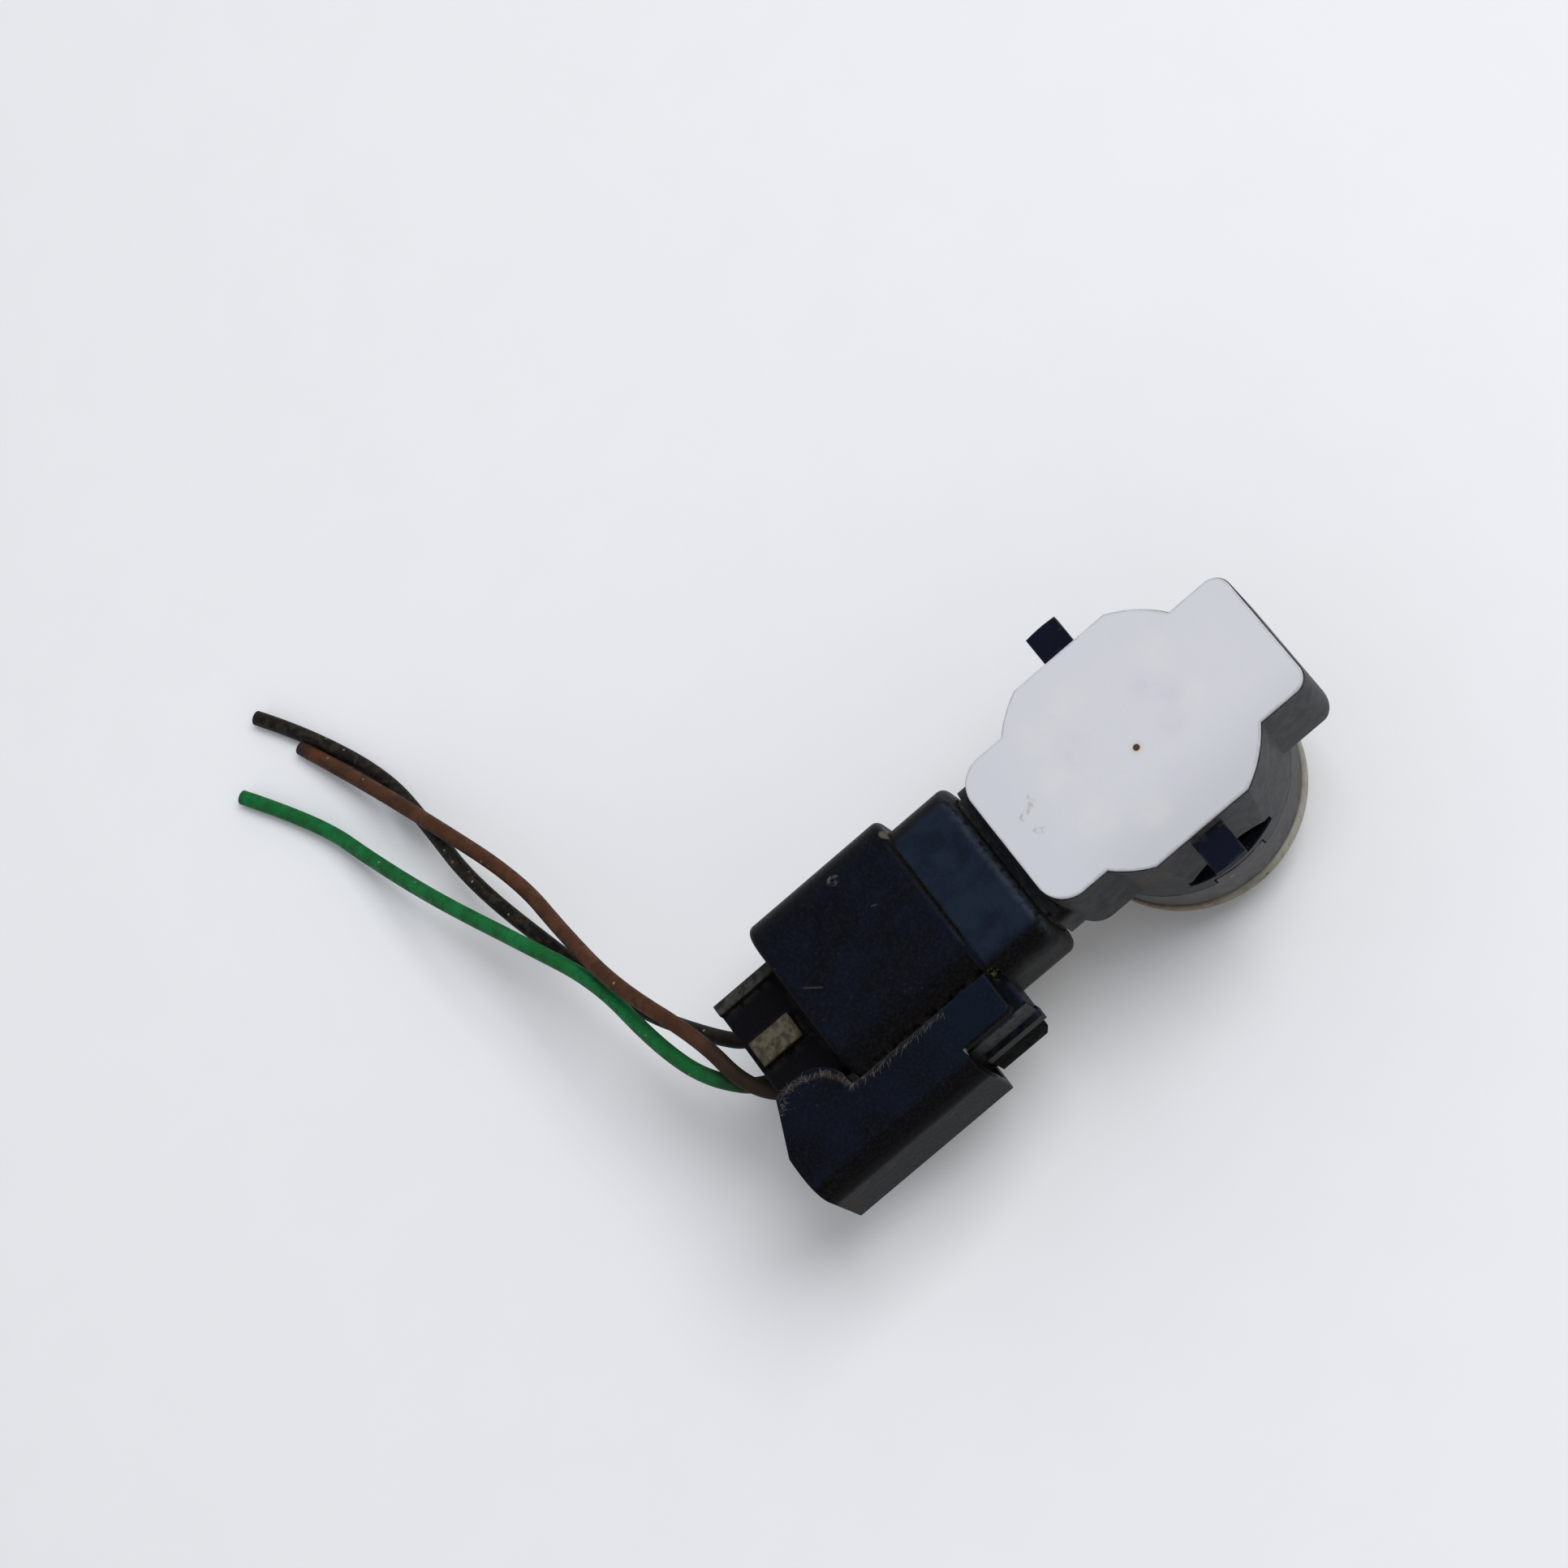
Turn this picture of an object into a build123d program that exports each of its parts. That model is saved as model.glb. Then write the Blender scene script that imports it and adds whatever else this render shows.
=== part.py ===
from build123d import *
import math
import os

os.makedirs("parts", exist_ok=True)

# Ultrasonic parking sensor with its plug latched on and three cut wires.
# Millimetres. The origin is the centre of the membrane's outer face, +Z runs up the
# sensor's axis to its potted back, and +X runs from the plug to the sensor.

# Housing outline, seen from the back
barrel_radius = 12.9
barrel_foot_radius = 12.2
flat_half_width = 11.6
front_lobe_reach = 16.75
front_lobe_half_width = 7.35
front_lobe_corner = 1.8
front_lobe_depth = 10.4
front_lobe_under_round = 1.8
header_lobe_reach = 15.65
header_lobe_half_width = 8.75
header_lobe_corner = 3.2
header_lobe_depth = 10.0
header_lobe_under_round = 2.4

# Housing heights and walls
back_height = 25.6
wall = 1.1
floor_depth = 7.1
floor_height = back_height - floor_depth
barrel_bottom = 11.8
lower_barrel_radius = 11.0
lower_barrel_bottom = 8.5
lower_barrel_top = 12.0
lower_bore_radius = 8.6
shelf_bottom = 10.6
shelf_hole_radius = 7.0
board_post_radius = 1.0
board_post_offset = 7.4

# Clip pockets under the flats, and the lugs over them
pocket_half_length = 5.1
pocket_inner_offset = 10.1
pocket_sill = 14.3
pocket_shoulder = 15.6
pocket_top = 17.7
sill_thickness = 1.0
well_depth = 2.6
lug_half_width = 1.8
lug_reach = 15.5
lug_below_back = 1.2
lug_top = back_height - lug_below_back
lug_thickness = 1.2
lug_edge_round = 0.15

# Potting
potting_depth = 1.4
potting_cap = 0.4
potting_cap_inset = 0.1
potting_edge_round = 0.12

# Retaining ring
ring_bottom = 6.8
ring_foot_radius = 12.05
ring_foot_round = 0.15
ring_clearance = 0.05
ring_seam = 0.2
ring_web = 0.8
tab_half_width = 2.9
tab_height = 1.3
tab_thickness = 0.5
tab_side_gap = 0.2
tab_top_gap = 0.6

# Transducer cup and decoupling ring
cup_radius = 7.85
cup_wall = 1.0
membrane_thickness = 0.9
cup_height = 9.6
cup_flange_radius = 8.6
cup_flange_thickness = 1.2
cup_edge_round = 0.3
head_sleeve_radius = 9.2
head_sleeve_bottom = 1.2
head_flange_radius = 12.35
head_flange_thickness = 1.5
head_flange_gap = 0.05
head_flange_round = 0.25

# Inside the cup
disc_radius = 3.9
disc_thickness = 0.6
foam_thickness = 4.5
lead_radius = 0.3
lead_x = -3.0
lead_offset = 1.4
lead_stand_out = 0.6

# Board and what it carries
board_thickness = 1.0
board_post_height = 1.4
board_gap = 0.5
core_radius = 3.0
core_hub_radius = 1.5
core_height = 3.0
core_cheek = 0.5
winding_radius = 2.7
core_x = 1.5
core_y = 4.6
chip_length = 6.0
chip_width = 4.4
chip_height = 1.5
chip_x = 7.0
chip_y = -3.2
chip_leg_pitch = 1.27
chip_legs_per_side = 4
chip_leg_width = 0.45
chip_leg_reach = 0.9
chip_leg_height = 0.7
ceramic_length = 1.9
ceramic_width = 1.2
ceramic_height = 1.0
ceramic_places = ((-5.5, -6.5), (-2.5, -6.5), (0.5, -6.5), (-6.5, 5.5))
storage_radius = 2.2
storage_length = 6.0
storage_x = 4.0

# Connector axis and header shroud
connector_y = 0.9
connector_z = floor_height
row_pitch = 3.4
neck_end = 16.6
neck_half_width = 8.75
neck_half_height = 3.7
neck_corner = 2.6
shroud_end = 29.0
shroud_half_width = 8.0
shroud_half_height = 3.5
shroud_corner = 2.4
shroud_wall = 0.95
shroud_floor = 17.8
pin_size = 0.8
pin_tip = 25.5
pin_turn = 11.5
pin_stand_out = 0.9
pin_trough_start = 14.2
pin_trough_end = 8.0
pin_trough_half_width = 5.4
pin_trough_depth = 0.8

# Plug sleeve, main body and nose
sleeve_front = 17.1
sleeve_half_width = 9.9
sleeve_half_height = 5.6
sleeve_corner = 4.0
sleeve_clearance = 0.25
main_front = 24.2
main_rear = 41.2
main_far_side = 12.45
main_far_corner = 4.0
main_half_height = 6.2
main_near_side = 8.2
plug_end_round = 0.8
plug_front_round = 1.0
shroud_end_gap = 0.5
nose_front = 18.4
nose_clearance = 0.3
nose_corner = 1.4
nose_groove_front = 24.5
nose_groove_rear = 26.5
nose_groove_depth = 0.5

# Terminals and wire seal
cavity_size = 2.2
cavity_clearance = 0.05
cavity_front_wall = 0.8
pin_entry_size = 1.2
terminal_box_length = 9.6
terminal_bore = 1.2
terminal_neck_length = 1.2
terminal_neck_size = 1.1
crimp_radius = 1.0
crimp_end = 37.0
seal_front = 37.6
seal_rear = 40.6
seal_half_width = 5.4
seal_half_height = 2.4
seal_corner = 2.1

# Rear holder
holder_rear = 48.6
holder_low_side = -5.2
holder_high_side = 8.9
holder_below_axis = 5.1
holder_above_axis = 1.9
holder_bottom = connector_z - holder_below_axis
holder_top = connector_z + holder_above_axis
holder_wall = 0.8
holder_corner = 1.0
edge_rib_height = 0.8
edge_rib_width = 1.4
key_rib_height = 1.5
key_rib_width = 2.9
key_rib_y = 1.75
key_rib_front = 42.9
key_rib_rear = 47.9
holder_rib_round = 0.3
holder_hole_gap = 0.15

# Latch lever
lever_above_axis = 4.3
lever_below_axis = 7.6
lever_top = connector_z + lever_above_axis
lever_bottom = connector_z - lever_below_axis
lever_plate = 1.2
lever_side = 14.2
lever_wall = 1.0
lever_outer_round = 2.2
lever_under_round = 0.5
lever_front = 24.95
lever_front_corner = 0.8
lever_bridge_round = 0.45
lever_rear = 50.9
lever_window_end = 31.2
lever_bridge_reach = 12.0
lever_edge_y = 7.4
lever_body_gap = 0.25
lever_front_gap = 1.2
lever_pad_reach = 3.1
lever_pad_front = 41.6
lever_pad_crest = 45.6
lever_pad_slope_start = 48.5
lever_pad_slope_end_y = 9.1
lever_pad_bulge = 0.2
lever_travel_deg = 4.5
pivot_x = -35.6
pivot_y = -11.1
pivot_boss_radius = 1.5
pivot_bore_radius = 0.75
pivot_clearance = 0.06
pivot_stub_length = 1.7
pivot_end_gap = 0.6
arm_inner_y = 9.0
arm_thickness = 1.2
arm_front = 26.7
arm_rear = 33.4
arm_height = 4.0
hook_length = 1.2
hook_gap = 0.2
hook_height = 3.2
hook_window_gap = 0.6
catch_ramp_length = 1.2
catch_height = 0.9
catch_width = 3.0

# Lever carrier on the plug: a rail with a ridge, and the pivot boss
rail_front = 23.9
rail_end = 30.7
rail_inner_y = 11.35
rail_upper_y = 11.95
rail_foot_y = 12.4
rail_above_axis = 2.1
rail_below_axis = 6.5
rail_top = connector_z + rail_above_axis
rail_bottom = connector_z - rail_below_axis
ridge_y = 12.6
ridge_below_axis = 0.9
ridge_height = 1.4
ridge_top = connector_z - ridge_below_axis
ridge_bottom = ridge_top - ridge_height
ridge_lead = 0.2
rail_nose_step = 0.5
rail_nose_depth = 0.7
rail_nose_height = 1.7
rail_front_wall = 1.4
pivot_web = 1.6

# Wires: the points of each route, from the terminal to the cut end
wire_diameter = 1.65
wire_arc_share = 0.45
wire_routes = {
    "black": [
        (-37.0, 4.3, 18.5), (-43.0, 4.3, 18.5), (-48.2, 4.6, 17.3), (-51.9, 9.4, 14.6),
        (-56.6, 17.2, 12.1), (-60.3, 28.4, 8.5), (-64.3, 42.9, 7.0), (-65.6, 54.1, 2.5),
        (-66.4, 63.1, 0.85), (-71.1, 73.9, 0.9), (-74.9, 79.3, 0.85),
    ],
    "green": [
        (-37.0, 0.9, 18.5), (-43.0, 0.9, 18.5), (-49.5, 0.2, 15.4), (-54.1, 5.3, 16.0),
        (-56.6, 12.8, 14.3), (-58.2, 22.5, 13.0), (-62.9, 32.5, 10.3), (-68.5, 44.5, 6.6),
        (-72.7, 55.0, 2.5), (-75.7, 64.0, 0.9), (-81.3, 72.9, 0.85),
    ],
    "brown": [
        (-37.0, -2.5, 18.5), (-42.6, -2.5, 18.5), (-47.9, -2.5, 17.6), (-51.2, 1.7, 17.4),
        (-51.9, 8.6, 17.4), (-56.1, 19.6, 15.7), (-58.1, 29.6, 11.5), (-59.7, 39.8, 7.7),
        (-64.8, 53.4, 5.6), (-69.1, 64.4, 2.1), (-72.5, 72.4, 0.85),
    ],
}
row_colours = ("black", "green", "brown")
row_names = ("upper", "middle", "lower")
rows = [connector_y + row_pitch * step for step in (1, 0, -1)]


def solid_ring(outer_radius, inner_radius, low, high):
    """A plain ring about the sensor's axis."""
    ring = Pos(0, 0, low) * extrude(Circle(outer_radius), amount=high - low)
    if inner_radius > 0:
        ring -= Pos(0, 0, low) * extrude(Circle(inner_radius), amount=high - low)
    return ring


def block(x_range, y_range, z_range):
    """A box between two corners, its limits given in any order."""
    low = [min(pair) for pair in (x_range, y_range, z_range)]
    size = [abs(pair[1] - pair[0]) for pair in (x_range, y_range, z_range)]
    return Pos(*low) * Box(*size, align=(Align.MIN, Align.MIN, Align.MIN))


def cross_plane(x, y=connector_y):
    """The plane across the connector's axis at one place, facing the sensor."""
    return Plane((x, y, connector_z), x_dir=(0, 1, 0), z_dir=(1, 0, 0))


def bar_along_x(x_start, x_end, half_width, half_height, corner):
    """A rounded bar on the connector's axis, between two distances towards the plug."""
    section = RectangleRounded(2 * half_width, 2 * half_height, corner)
    return extrude(cross_plane(-x_end) * section, amount=x_end - x_start)


def back_outline(inset):
    """The housing's outline from the back: a barrel with two flats and two lobes."""
    radius = barrel_radius - inset
    half = flat_half_width - inset
    outline = Circle(radius) & Rectangle(3 * radius, 2 * half)
    for reach, half_width, corner, side in (
        (front_lobe_reach, front_lobe_half_width, front_lobe_corner, 1),
        (header_lobe_reach, header_lobe_half_width, header_lobe_corner, -1),
    ):
        length = 2 * (reach - inset)
        lobe = RectangleRounded(length, 2 * (half_width - inset), corner - inset / 2)
        keep = Pos(side * reach, 0) * Rectangle(2 * reach, 4 * reach)
        outline += lobe & keep
    return outline


def lobe_solid(reach, half_width, corner, depth, radius, side):
    """One lobe, with its lower outer edge rounded."""
    outline = RectangleRounded(2 * reach, 2 * half_width, corner)
    outline &= Pos(side * reach, 0) * Rectangle(2 * reach, 4 * reach)
    lobe = Pos(0, 0, back_height - depth) * extrude(outline, amount=depth)
    end_round = Rectangle(2 * radius, 2 * radius) - Pos(-side * radius, radius) * Circle(radius)
    corner_place = (side * reach, half_width, back_height - depth)
    end_plane = Plane(corner_place, x_dir=(1, 0, 0), z_dir=(0, -1, 0))
    return lobe - extrude(end_plane * end_round, amount=2 * half_width)


def clip_pocket(side):
    """The arched pocket under a flat, with the well behind its sill."""
    half = pocket_half_length
    sides = Polyline((-half, pocket_shoulder), (-half, pocket_sill), (half, pocket_sill),
                     (half, pocket_shoulder))
    arch = ThreePointArc((half, pocket_shoulder), (0, pocket_top), (-half, pocket_shoulder))
    plane = Plane((0, side * pocket_inner_offset, 0), x_dir=(-side, 0, 0), z_dir=(0, side, 0))
    pocket = extrude(plane * make_face(sides + arch), amount=barrel_radius - pocket_inner_offset)
    well_low = pocket_sill - well_depth
    well = block((-half, half), (side * pocket_inner_offset, side * barrel_radius), (well_low, pocket_sill))
    return pocket + (well & solid_ring(barrel_foot_radius - sill_thickness, 0, well_low, pocket_sill))


def tab_space(side, outer_radius, side_gap, top_gap):
    """A ring tab's place in the housing's outer wall, with a gap beside, behind and over it."""
    low = barrel_bottom - ring_seam
    high = low + tab_height + top_gap
    half = tab_half_width + side_gap
    ring = solid_ring(outer_radius, barrel_foot_radius - tab_thickness - side_gap, low, high)
    return ring & block((-half, half), (0, side * outer_radius), (low, high))


def bracket_lug(side):
    """A flat lug out of the top of a flat, with a slightly round outer edge."""
    lug = block((-lug_half_width, lug_half_width), (side * (flat_half_width - wall), side * lug_reach),
                (lug_top - lug_thickness, lug_top))
    lug &= solid_ring(lug_reach, 0, lug_top - lug_thickness, lug_top)
    outer = lug.edges().filter_by(lambda edge: abs(edge.center().Y) > lug_reach - 2 * lug_edge_round)
    return fillet(outer.filter_by(GeomType.CIRCLE), lug_edge_round)


def pin_solid(y):
    """A square header pin: along the connector, then up through the board."""
    half = pin_size / 2
    top = floor_height + board_post_height + board_thickness + pin_stand_out
    across = (y - half, y + half)
    lying = block((-pin_tip, -pin_turn + half), across, (connector_z - half, connector_z + half))
    rising = block((-pin_turn - half, -pin_turn + half), across, (connector_z - half, top))
    tip = lying.edges().group_by(Axis.X)[0]
    return chamfer(tip, half / 2) + rising


def header_shroud():
    """The header: a neck under the lobe, the shroud, its hollow and the catch."""
    shroud = bar_along_x(header_lobe_reach - header_lobe_corner, neck_end, neck_half_width,
                         neck_half_height, neck_corner)
    shroud += bar_along_x(neck_end, shroud_end, shroud_half_width, shroud_half_height, shroud_corner)
    shroud -= bar_along_x(shroud_floor, shroud_end, shroud_half_width - shroud_wall,
                          shroud_half_height - shroud_wall, shroud_corner - shroud_wall)
    foot = connector_y - shroud_half_width
    catch_face = -(arm_front + hook_length + hook_gap)
    ramp_end = catch_face - catch_ramp_length
    root = foot + shroud_wall / 2
    wedge = Polyline((ramp_end, foot), (catch_face, foot - catch_height), (catch_face, root),
                     (ramp_end, root), close=True)
    low = Plane((0, 0, connector_z - catch_width / 2))
    return shroud + extrude(low * make_face(wedge), amount=catch_width)


def barrel():
    """The housing's tapered barrel with its two flats above the pockets' sills."""
    profile = Polyline((0, barrel_bottom), (barrel_foot_radius, barrel_bottom),
                       (barrel_radius, back_height), (0, back_height), close=True)
    cone = revolve(Plane.XZ * make_face(profile), Axis.Z, 360)
    for side in (1, -1):
        cone -= block((-barrel_radius, barrel_radius), (side * flat_half_width, side * 2 * barrel_radius),
                      (pocket_sill, back_height))
    return cone


def sensor_housing():
    """The black moulding that carries everything else in the sensor."""
    body = barrel()
    body += solid_ring(lower_barrel_radius, 0, lower_barrel_bottom, barrel_bottom)
    body += lobe_solid(front_lobe_reach, front_lobe_half_width, front_lobe_corner, front_lobe_depth,
                       front_lobe_under_round, 1)
    body += lobe_solid(header_lobe_reach, header_lobe_half_width, header_lobe_corner, header_lobe_depth,
                       header_lobe_under_round, -1)
    body += header_shroud()
    for side in (1, -1):
        body -= clip_pocket(side)
        body -= tab_space(side, barrel_radius, tab_side_gap, tab_top_gap)
        body += bracket_lug(side)
    body -= Pos(0, 0, floor_height) * extrude(back_outline(wall), amount=back_height - floor_height)
    body -= solid_ring(lower_bore_radius, 0, lower_barrel_top, floor_height)
    body -= solid_ring(shelf_hole_radius, 0, shelf_bottom, lower_barrel_top)
    body -= solid_ring(head_sleeve_radius + ring_clearance, 0, lower_barrel_bottom, shelf_bottom)
    body -= block((-pin_trough_start, -pin_trough_end),
                  (connector_y - pin_trough_half_width, connector_y + pin_trough_half_width),
                  (floor_height - pin_trough_depth, floor_height))
    for x in (-board_post_offset, board_post_offset):
        for y in (-board_post_offset, board_post_offset):
            body += Pos(x, y, floor_height) * extrude(Circle(board_post_radius), amount=board_post_height)
    for y in rows:
        body -= pin_solid(y)
    return body


def potting():
    """The white casting: a plug in the housing's mouth and a thin cap over its rim."""
    plug = Pos(0, 0, back_height - potting_depth) * extrude(back_outline(wall), amount=potting_depth)
    cap = Pos(0, 0, back_height) * extrude(back_outline(potting_cap_inset), amount=potting_cap)
    cap = fillet(cap.edges().group_by(Axis.Z)[-1], potting_edge_round)
    return plug + cap


def retaining_ring():
    """The ring under the housing's barrel, narrower at its foot, with two tabs."""
    top = barrel_bottom - ring_seam
    inner = lower_barrel_radius + ring_clearance
    web_inner = head_sleeve_radius + ring_clearance
    profile = Polyline((web_inner, ring_bottom), (ring_foot_radius, ring_bottom), (barrel_foot_radius, top),
                       (inner, top), (inner, ring_bottom + ring_web), (web_inner, ring_bottom + ring_web),
                       close=True)
    ring = revolve(Plane.XZ * make_face(profile), Axis.Z, 360)
    foot = ring.edges().group_by(Axis.Z)[0].sort_by(SortBy.RADIUS)[-1]
    ring = fillet(foot, ring_foot_round)
    for side in (1, -1):
        ring += tab_space(side, barrel_foot_radius, 0, 0)
    return ring


def decoupling_ring():
    """The soft ring round the cup: a sleeve with a flange that meets the bumper."""
    flange_top = ring_bottom - head_flange_gap
    flange_bottom = flange_top - head_flange_thickness
    flange = solid_ring(head_flange_radius, cup_radius, flange_bottom, flange_top)
    outer = flange.edges().filter_by(GeomType.CIRCLE).group_by(SortBy.RADIUS)[-1]
    flange = fillet(outer, head_flange_round)
    sleeve = solid_ring(head_sleeve_radius, cup_radius, head_sleeve_bottom, shelf_bottom)
    sleeve -= solid_ring(cup_flange_radius, 0, cup_height - cup_flange_thickness, cup_height)
    return flange + sleeve


def transducer_cup():
    """The thin metal cup whose closed end is the membrane."""
    cup = solid_ring(cup_radius, 0, 0, cup_height)
    cup = fillet(cup.edges().group_by(Axis.Z)[0], cup_edge_round)
    cup += solid_ring(cup_flange_radius, 0, cup_height - cup_flange_thickness, cup_height)
    return cup - solid_ring(cup_radius - cup_wall, 0, membrane_thickness, cup_height)


def lead(side, radius, low, high):
    """One transducer lead, or the hole for it."""
    return Pos(lead_x, side * lead_offset, low) * extrude(Circle(radius), amount=high - low)


def cup_filling(low, high):
    """A disc that fills the cup between two heights, with holes for the leads."""
    filling = solid_ring(cup_radius - cup_wall, 0, low, high)
    for side in (1, -1):
        filling -= lead(side, lead_radius, low, high)
    return filling


def circuit_board(low):
    """The board on its posts, with holes for the pins and the leads."""
    board = Pos(0, 0, low) * extrude(back_outline(wall + board_gap), amount=board_thickness)
    for y in rows:
        board -= pin_solid(y)
    for side in (1, -1):
        board -= lead(side, lead_radius, low, low + board_thickness)
    return board


def transformer_core(low):
    """A drum core: a hub between two cheeks."""
    place = Pos(core_x, core_y, low)
    core = place * extrude(Circle(core_hub_radius), amount=core_height)
    for height in (0, core_height - core_cheek):
        core += place * Pos(0, 0, height) * extrude(Circle(core_radius), amount=core_cheek)
    return core


def transformer_winding(low):
    """The wire on the drum core, as one closed ring."""
    section = Circle(winding_radius) - Circle(core_hub_radius)
    height = core_height - 2 * core_cheek
    return Pos(core_x, core_y, low + core_cheek) * extrude(section, amount=height)


def driver_chip(low):
    """The driver chip with its row of legs on each side."""
    chip = block((chip_x - chip_length / 2, chip_x + chip_length / 2),
                 (chip_y - chip_width / 2, chip_y + chip_width / 2), (low, low + chip_height))
    for side in (1, -1):
        edge = chip_y + side * chip_width / 2
        for step in range(chip_legs_per_side):
            x = chip_x + (step - (chip_legs_per_side - 1) / 2) * chip_leg_pitch
            chip += block((x - chip_leg_width / 2, x + chip_leg_width / 2),
                          (edge, edge + side * chip_leg_reach), (low, low + chip_leg_height))
    return chip


def ceramic_capacitors(low):
    """The small blocks beside the transformer."""
    half_x = ceramic_length / 2
    half_y = ceramic_width / 2
    blocks = [block((x - half_x, x + half_x), (y - half_y, y + half_y), (low, low + ceramic_height))
              for x, y in ceramic_places]
    return Compound(children=blocks)


def storage_capacitor(top):
    """The can that lies under the board."""
    end = (storage_x - storage_length / 2, 0, top - storage_radius)
    plane = Plane(end, x_dir=(0, 1, 0), z_dir=(1, 0, 0))
    return extrude(plane * Circle(storage_radius), amount=storage_length)


def main_body():
    """The plug's main body: square-shouldered on the far side and round on the lever's side."""
    radius = main_half_height
    round_y = -(main_near_side - radius)
    width = main_far_side - round_y
    shoulder = Pos(round_y + width / 2, 0) * Rectangle(width, 2 * radius)
    shoulder = fillet(shoulder.vertices().sort_by(Axis.X)[-2:], main_far_corner)
    section = shoulder + Pos(round_y, 0) * Circle(radius)
    body = extrude(cross_plane(-main_rear, 0) * section, amount=main_rear - main_front)
    ends = body.edges().group_by(Axis.X)
    return fillet(ends[0] + ends[-1], plug_end_round)


def lever_carrier():
    """The rail beside the plug with its ridge and stepped nose, and the boss of the lever's pivot."""
    front = -rail_front
    step = front - rail_nose_step
    boss_low = lever_bottom + lever_plate + pivot_end_gap
    boss_height = lever_top - lever_plate - pivot_end_gap - boss_low
    section = Polyline((-rail_inner_y, rail_bottom), (-rail_foot_y, rail_bottom),
                       (-rail_foot_y, ridge_bottom), (-ridge_y, ridge_bottom), (-ridge_y, ridge_top),
                       (-rail_upper_y, ridge_top), (-rail_upper_y, rail_top), (-rail_inner_y, rail_top),
                       close=True)
    side = Polyline((-rail_end, rail_bottom), (step - rail_nose_depth, rail_bottom),
                    (step, rail_bottom + rail_nose_height), (step, ridge_bottom),
                    (front + ridge_lead, ridge_bottom), (front + ridge_lead, ridge_top),
                    (front, ridge_top), (front, rail_top), (-rail_end, rail_top), close=True)
    section_plane = Plane((-rail_end, 0, 0), x_dir=(0, 1, 0), z_dir=(1, 0, 0))
    side_plane = Plane((0, 0, 0), x_dir=(1, 0, 0), z_dir=(0, -1, 0))
    rail = extrude(section_plane * make_face(section), amount=rail_end - rail_front + ridge_lead)
    rail += block((front - rail_front_wall, front), (-rail_upper_y, -main_near_side + wall),
                  (rail_bottom, rail_top))
    rail &= extrude(side_plane * make_face(side), amount=ridge_y)
    rail += block((pivot_x, -rail_end), (-rail_upper_y, -rail_inner_y), (boss_low, rail_top))
    foot = Pos(pivot_x, pivot_y, boss_low)
    boss = foot * extrude(Circle(pivot_boss_radius), amount=boss_height)
    bore = foot * extrude(Circle(pivot_bore_radius), amount=boss_height)
    web = block((pivot_x - pivot_web / 2, pivot_x + pivot_web / 2), (pivot_y, -main_near_side + wall),
                (boss_low, rail_top))
    return rail + boss + web - bore


def plug_hollow():
    """What the plug leaves free: the shroud's space, the seal's space and the terminal holes."""
    gap = sleeve_clearance
    hollow_end = shroud_end + shroud_end_gap
    hollow = bar_along_x(sleeve_front, hollow_end, shroud_half_width + gap, shroud_half_height + gap,
                         shroud_corner + gap)
    inner_half_width = shroud_half_width - shroud_wall - nose_clearance
    inner_half_height = shroud_half_height - shroud_wall - nose_clearance
    nose = bar_along_x(nose_front, hollow_end, inner_half_width, inner_half_height, nose_corner)
    groove = bar_along_x(nose_groove_front, nose_groove_rear, inner_half_width + gap,
                         inner_half_height + gap, nose_corner)
    groove -= bar_along_x(nose_groove_front, nose_groove_rear, inner_half_width - nose_groove_depth,
                          inner_half_height - nose_groove_depth, nose_corner)
    hollow -= nose - groove
    hollow += bar_along_x(seal_front, main_rear, seal_half_width, seal_half_height, seal_corner)
    cavity_front = -nose_front - cavity_front_wall
    for y in rows:
        for x_range, half in (
            ((-seal_front, cavity_front), cavity_size / 2),
            ((cavity_front, -nose_front), pin_entry_size / 2),
        ):
            hollow += block(x_range, (y - half, y + half), (connector_z - half, connector_z + half))
    return hollow


def plug_housing():
    """The plug's moulding."""
    sleeve = bar_along_x(sleeve_front, main_front + plug_end_round, sleeve_half_width, sleeve_half_height,
                         sleeve_corner)
    sleeve = fillet(sleeve.edges().group_by(Axis.X)[-1], plug_front_round)
    sleeve -= block((-main_front - plug_end_round, -lever_front + lever_front_gap),
                    (-sleeve_half_width, -lever_edge_y + lever_body_gap),
                    (rail_top, connector_z + sleeve_half_height))
    plug = sleeve + main_body() + lever_carrier()
    plug -= plug_hollow()
    hook_half = hook_height / 2 + hook_window_gap
    window_rear = -(arm_front + hook_length + hook_gap + catch_ramp_length + hook_window_gap)
    plug -= block((window_rear, -arm_front + hook_window_gap),
                  (-arm_inner_y - wall, connector_y - shroud_half_width),
                  (connector_z - hook_half, connector_z + hook_half))
    return plug


def lever_plan():
    """The lever from above: a long plate that widens into a pad behind the plug's body."""
    pad_start = (-lever_pad_front, -lever_edge_y)
    rear_shoulder = (-lever_rear - lever_pad_bulge, -lever_pad_slope_end_y)
    rear_middle = (-lever_rear - lever_pad_bulge, -(lever_pad_slope_end_y + lever_side) / 2)
    edge = Line((-lever_front, -lever_edge_y), pad_start)
    rise = EllipticalCenterArc((-lever_pad_crest, -lever_edge_y), lever_pad_crest - lever_pad_front,
                               lever_edge_y - lever_pad_reach, start_angle=0, arc_size=90)
    crest = Line((-lever_pad_crest, -lever_pad_reach), (-lever_pad_slope_start, -lever_pad_reach))
    slope = Line((-lever_pad_slope_start, -lever_pad_reach), rear_shoulder)
    end = ThreePointArc(rear_shoulder, rear_middle, (-lever_rear, -lever_side))
    back = Polyline((-lever_rear, -lever_side), (-lever_front, -lever_side), (-lever_front, -lever_edge_y))
    return make_face(edge + rise + crest + slope + end + back)


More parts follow.
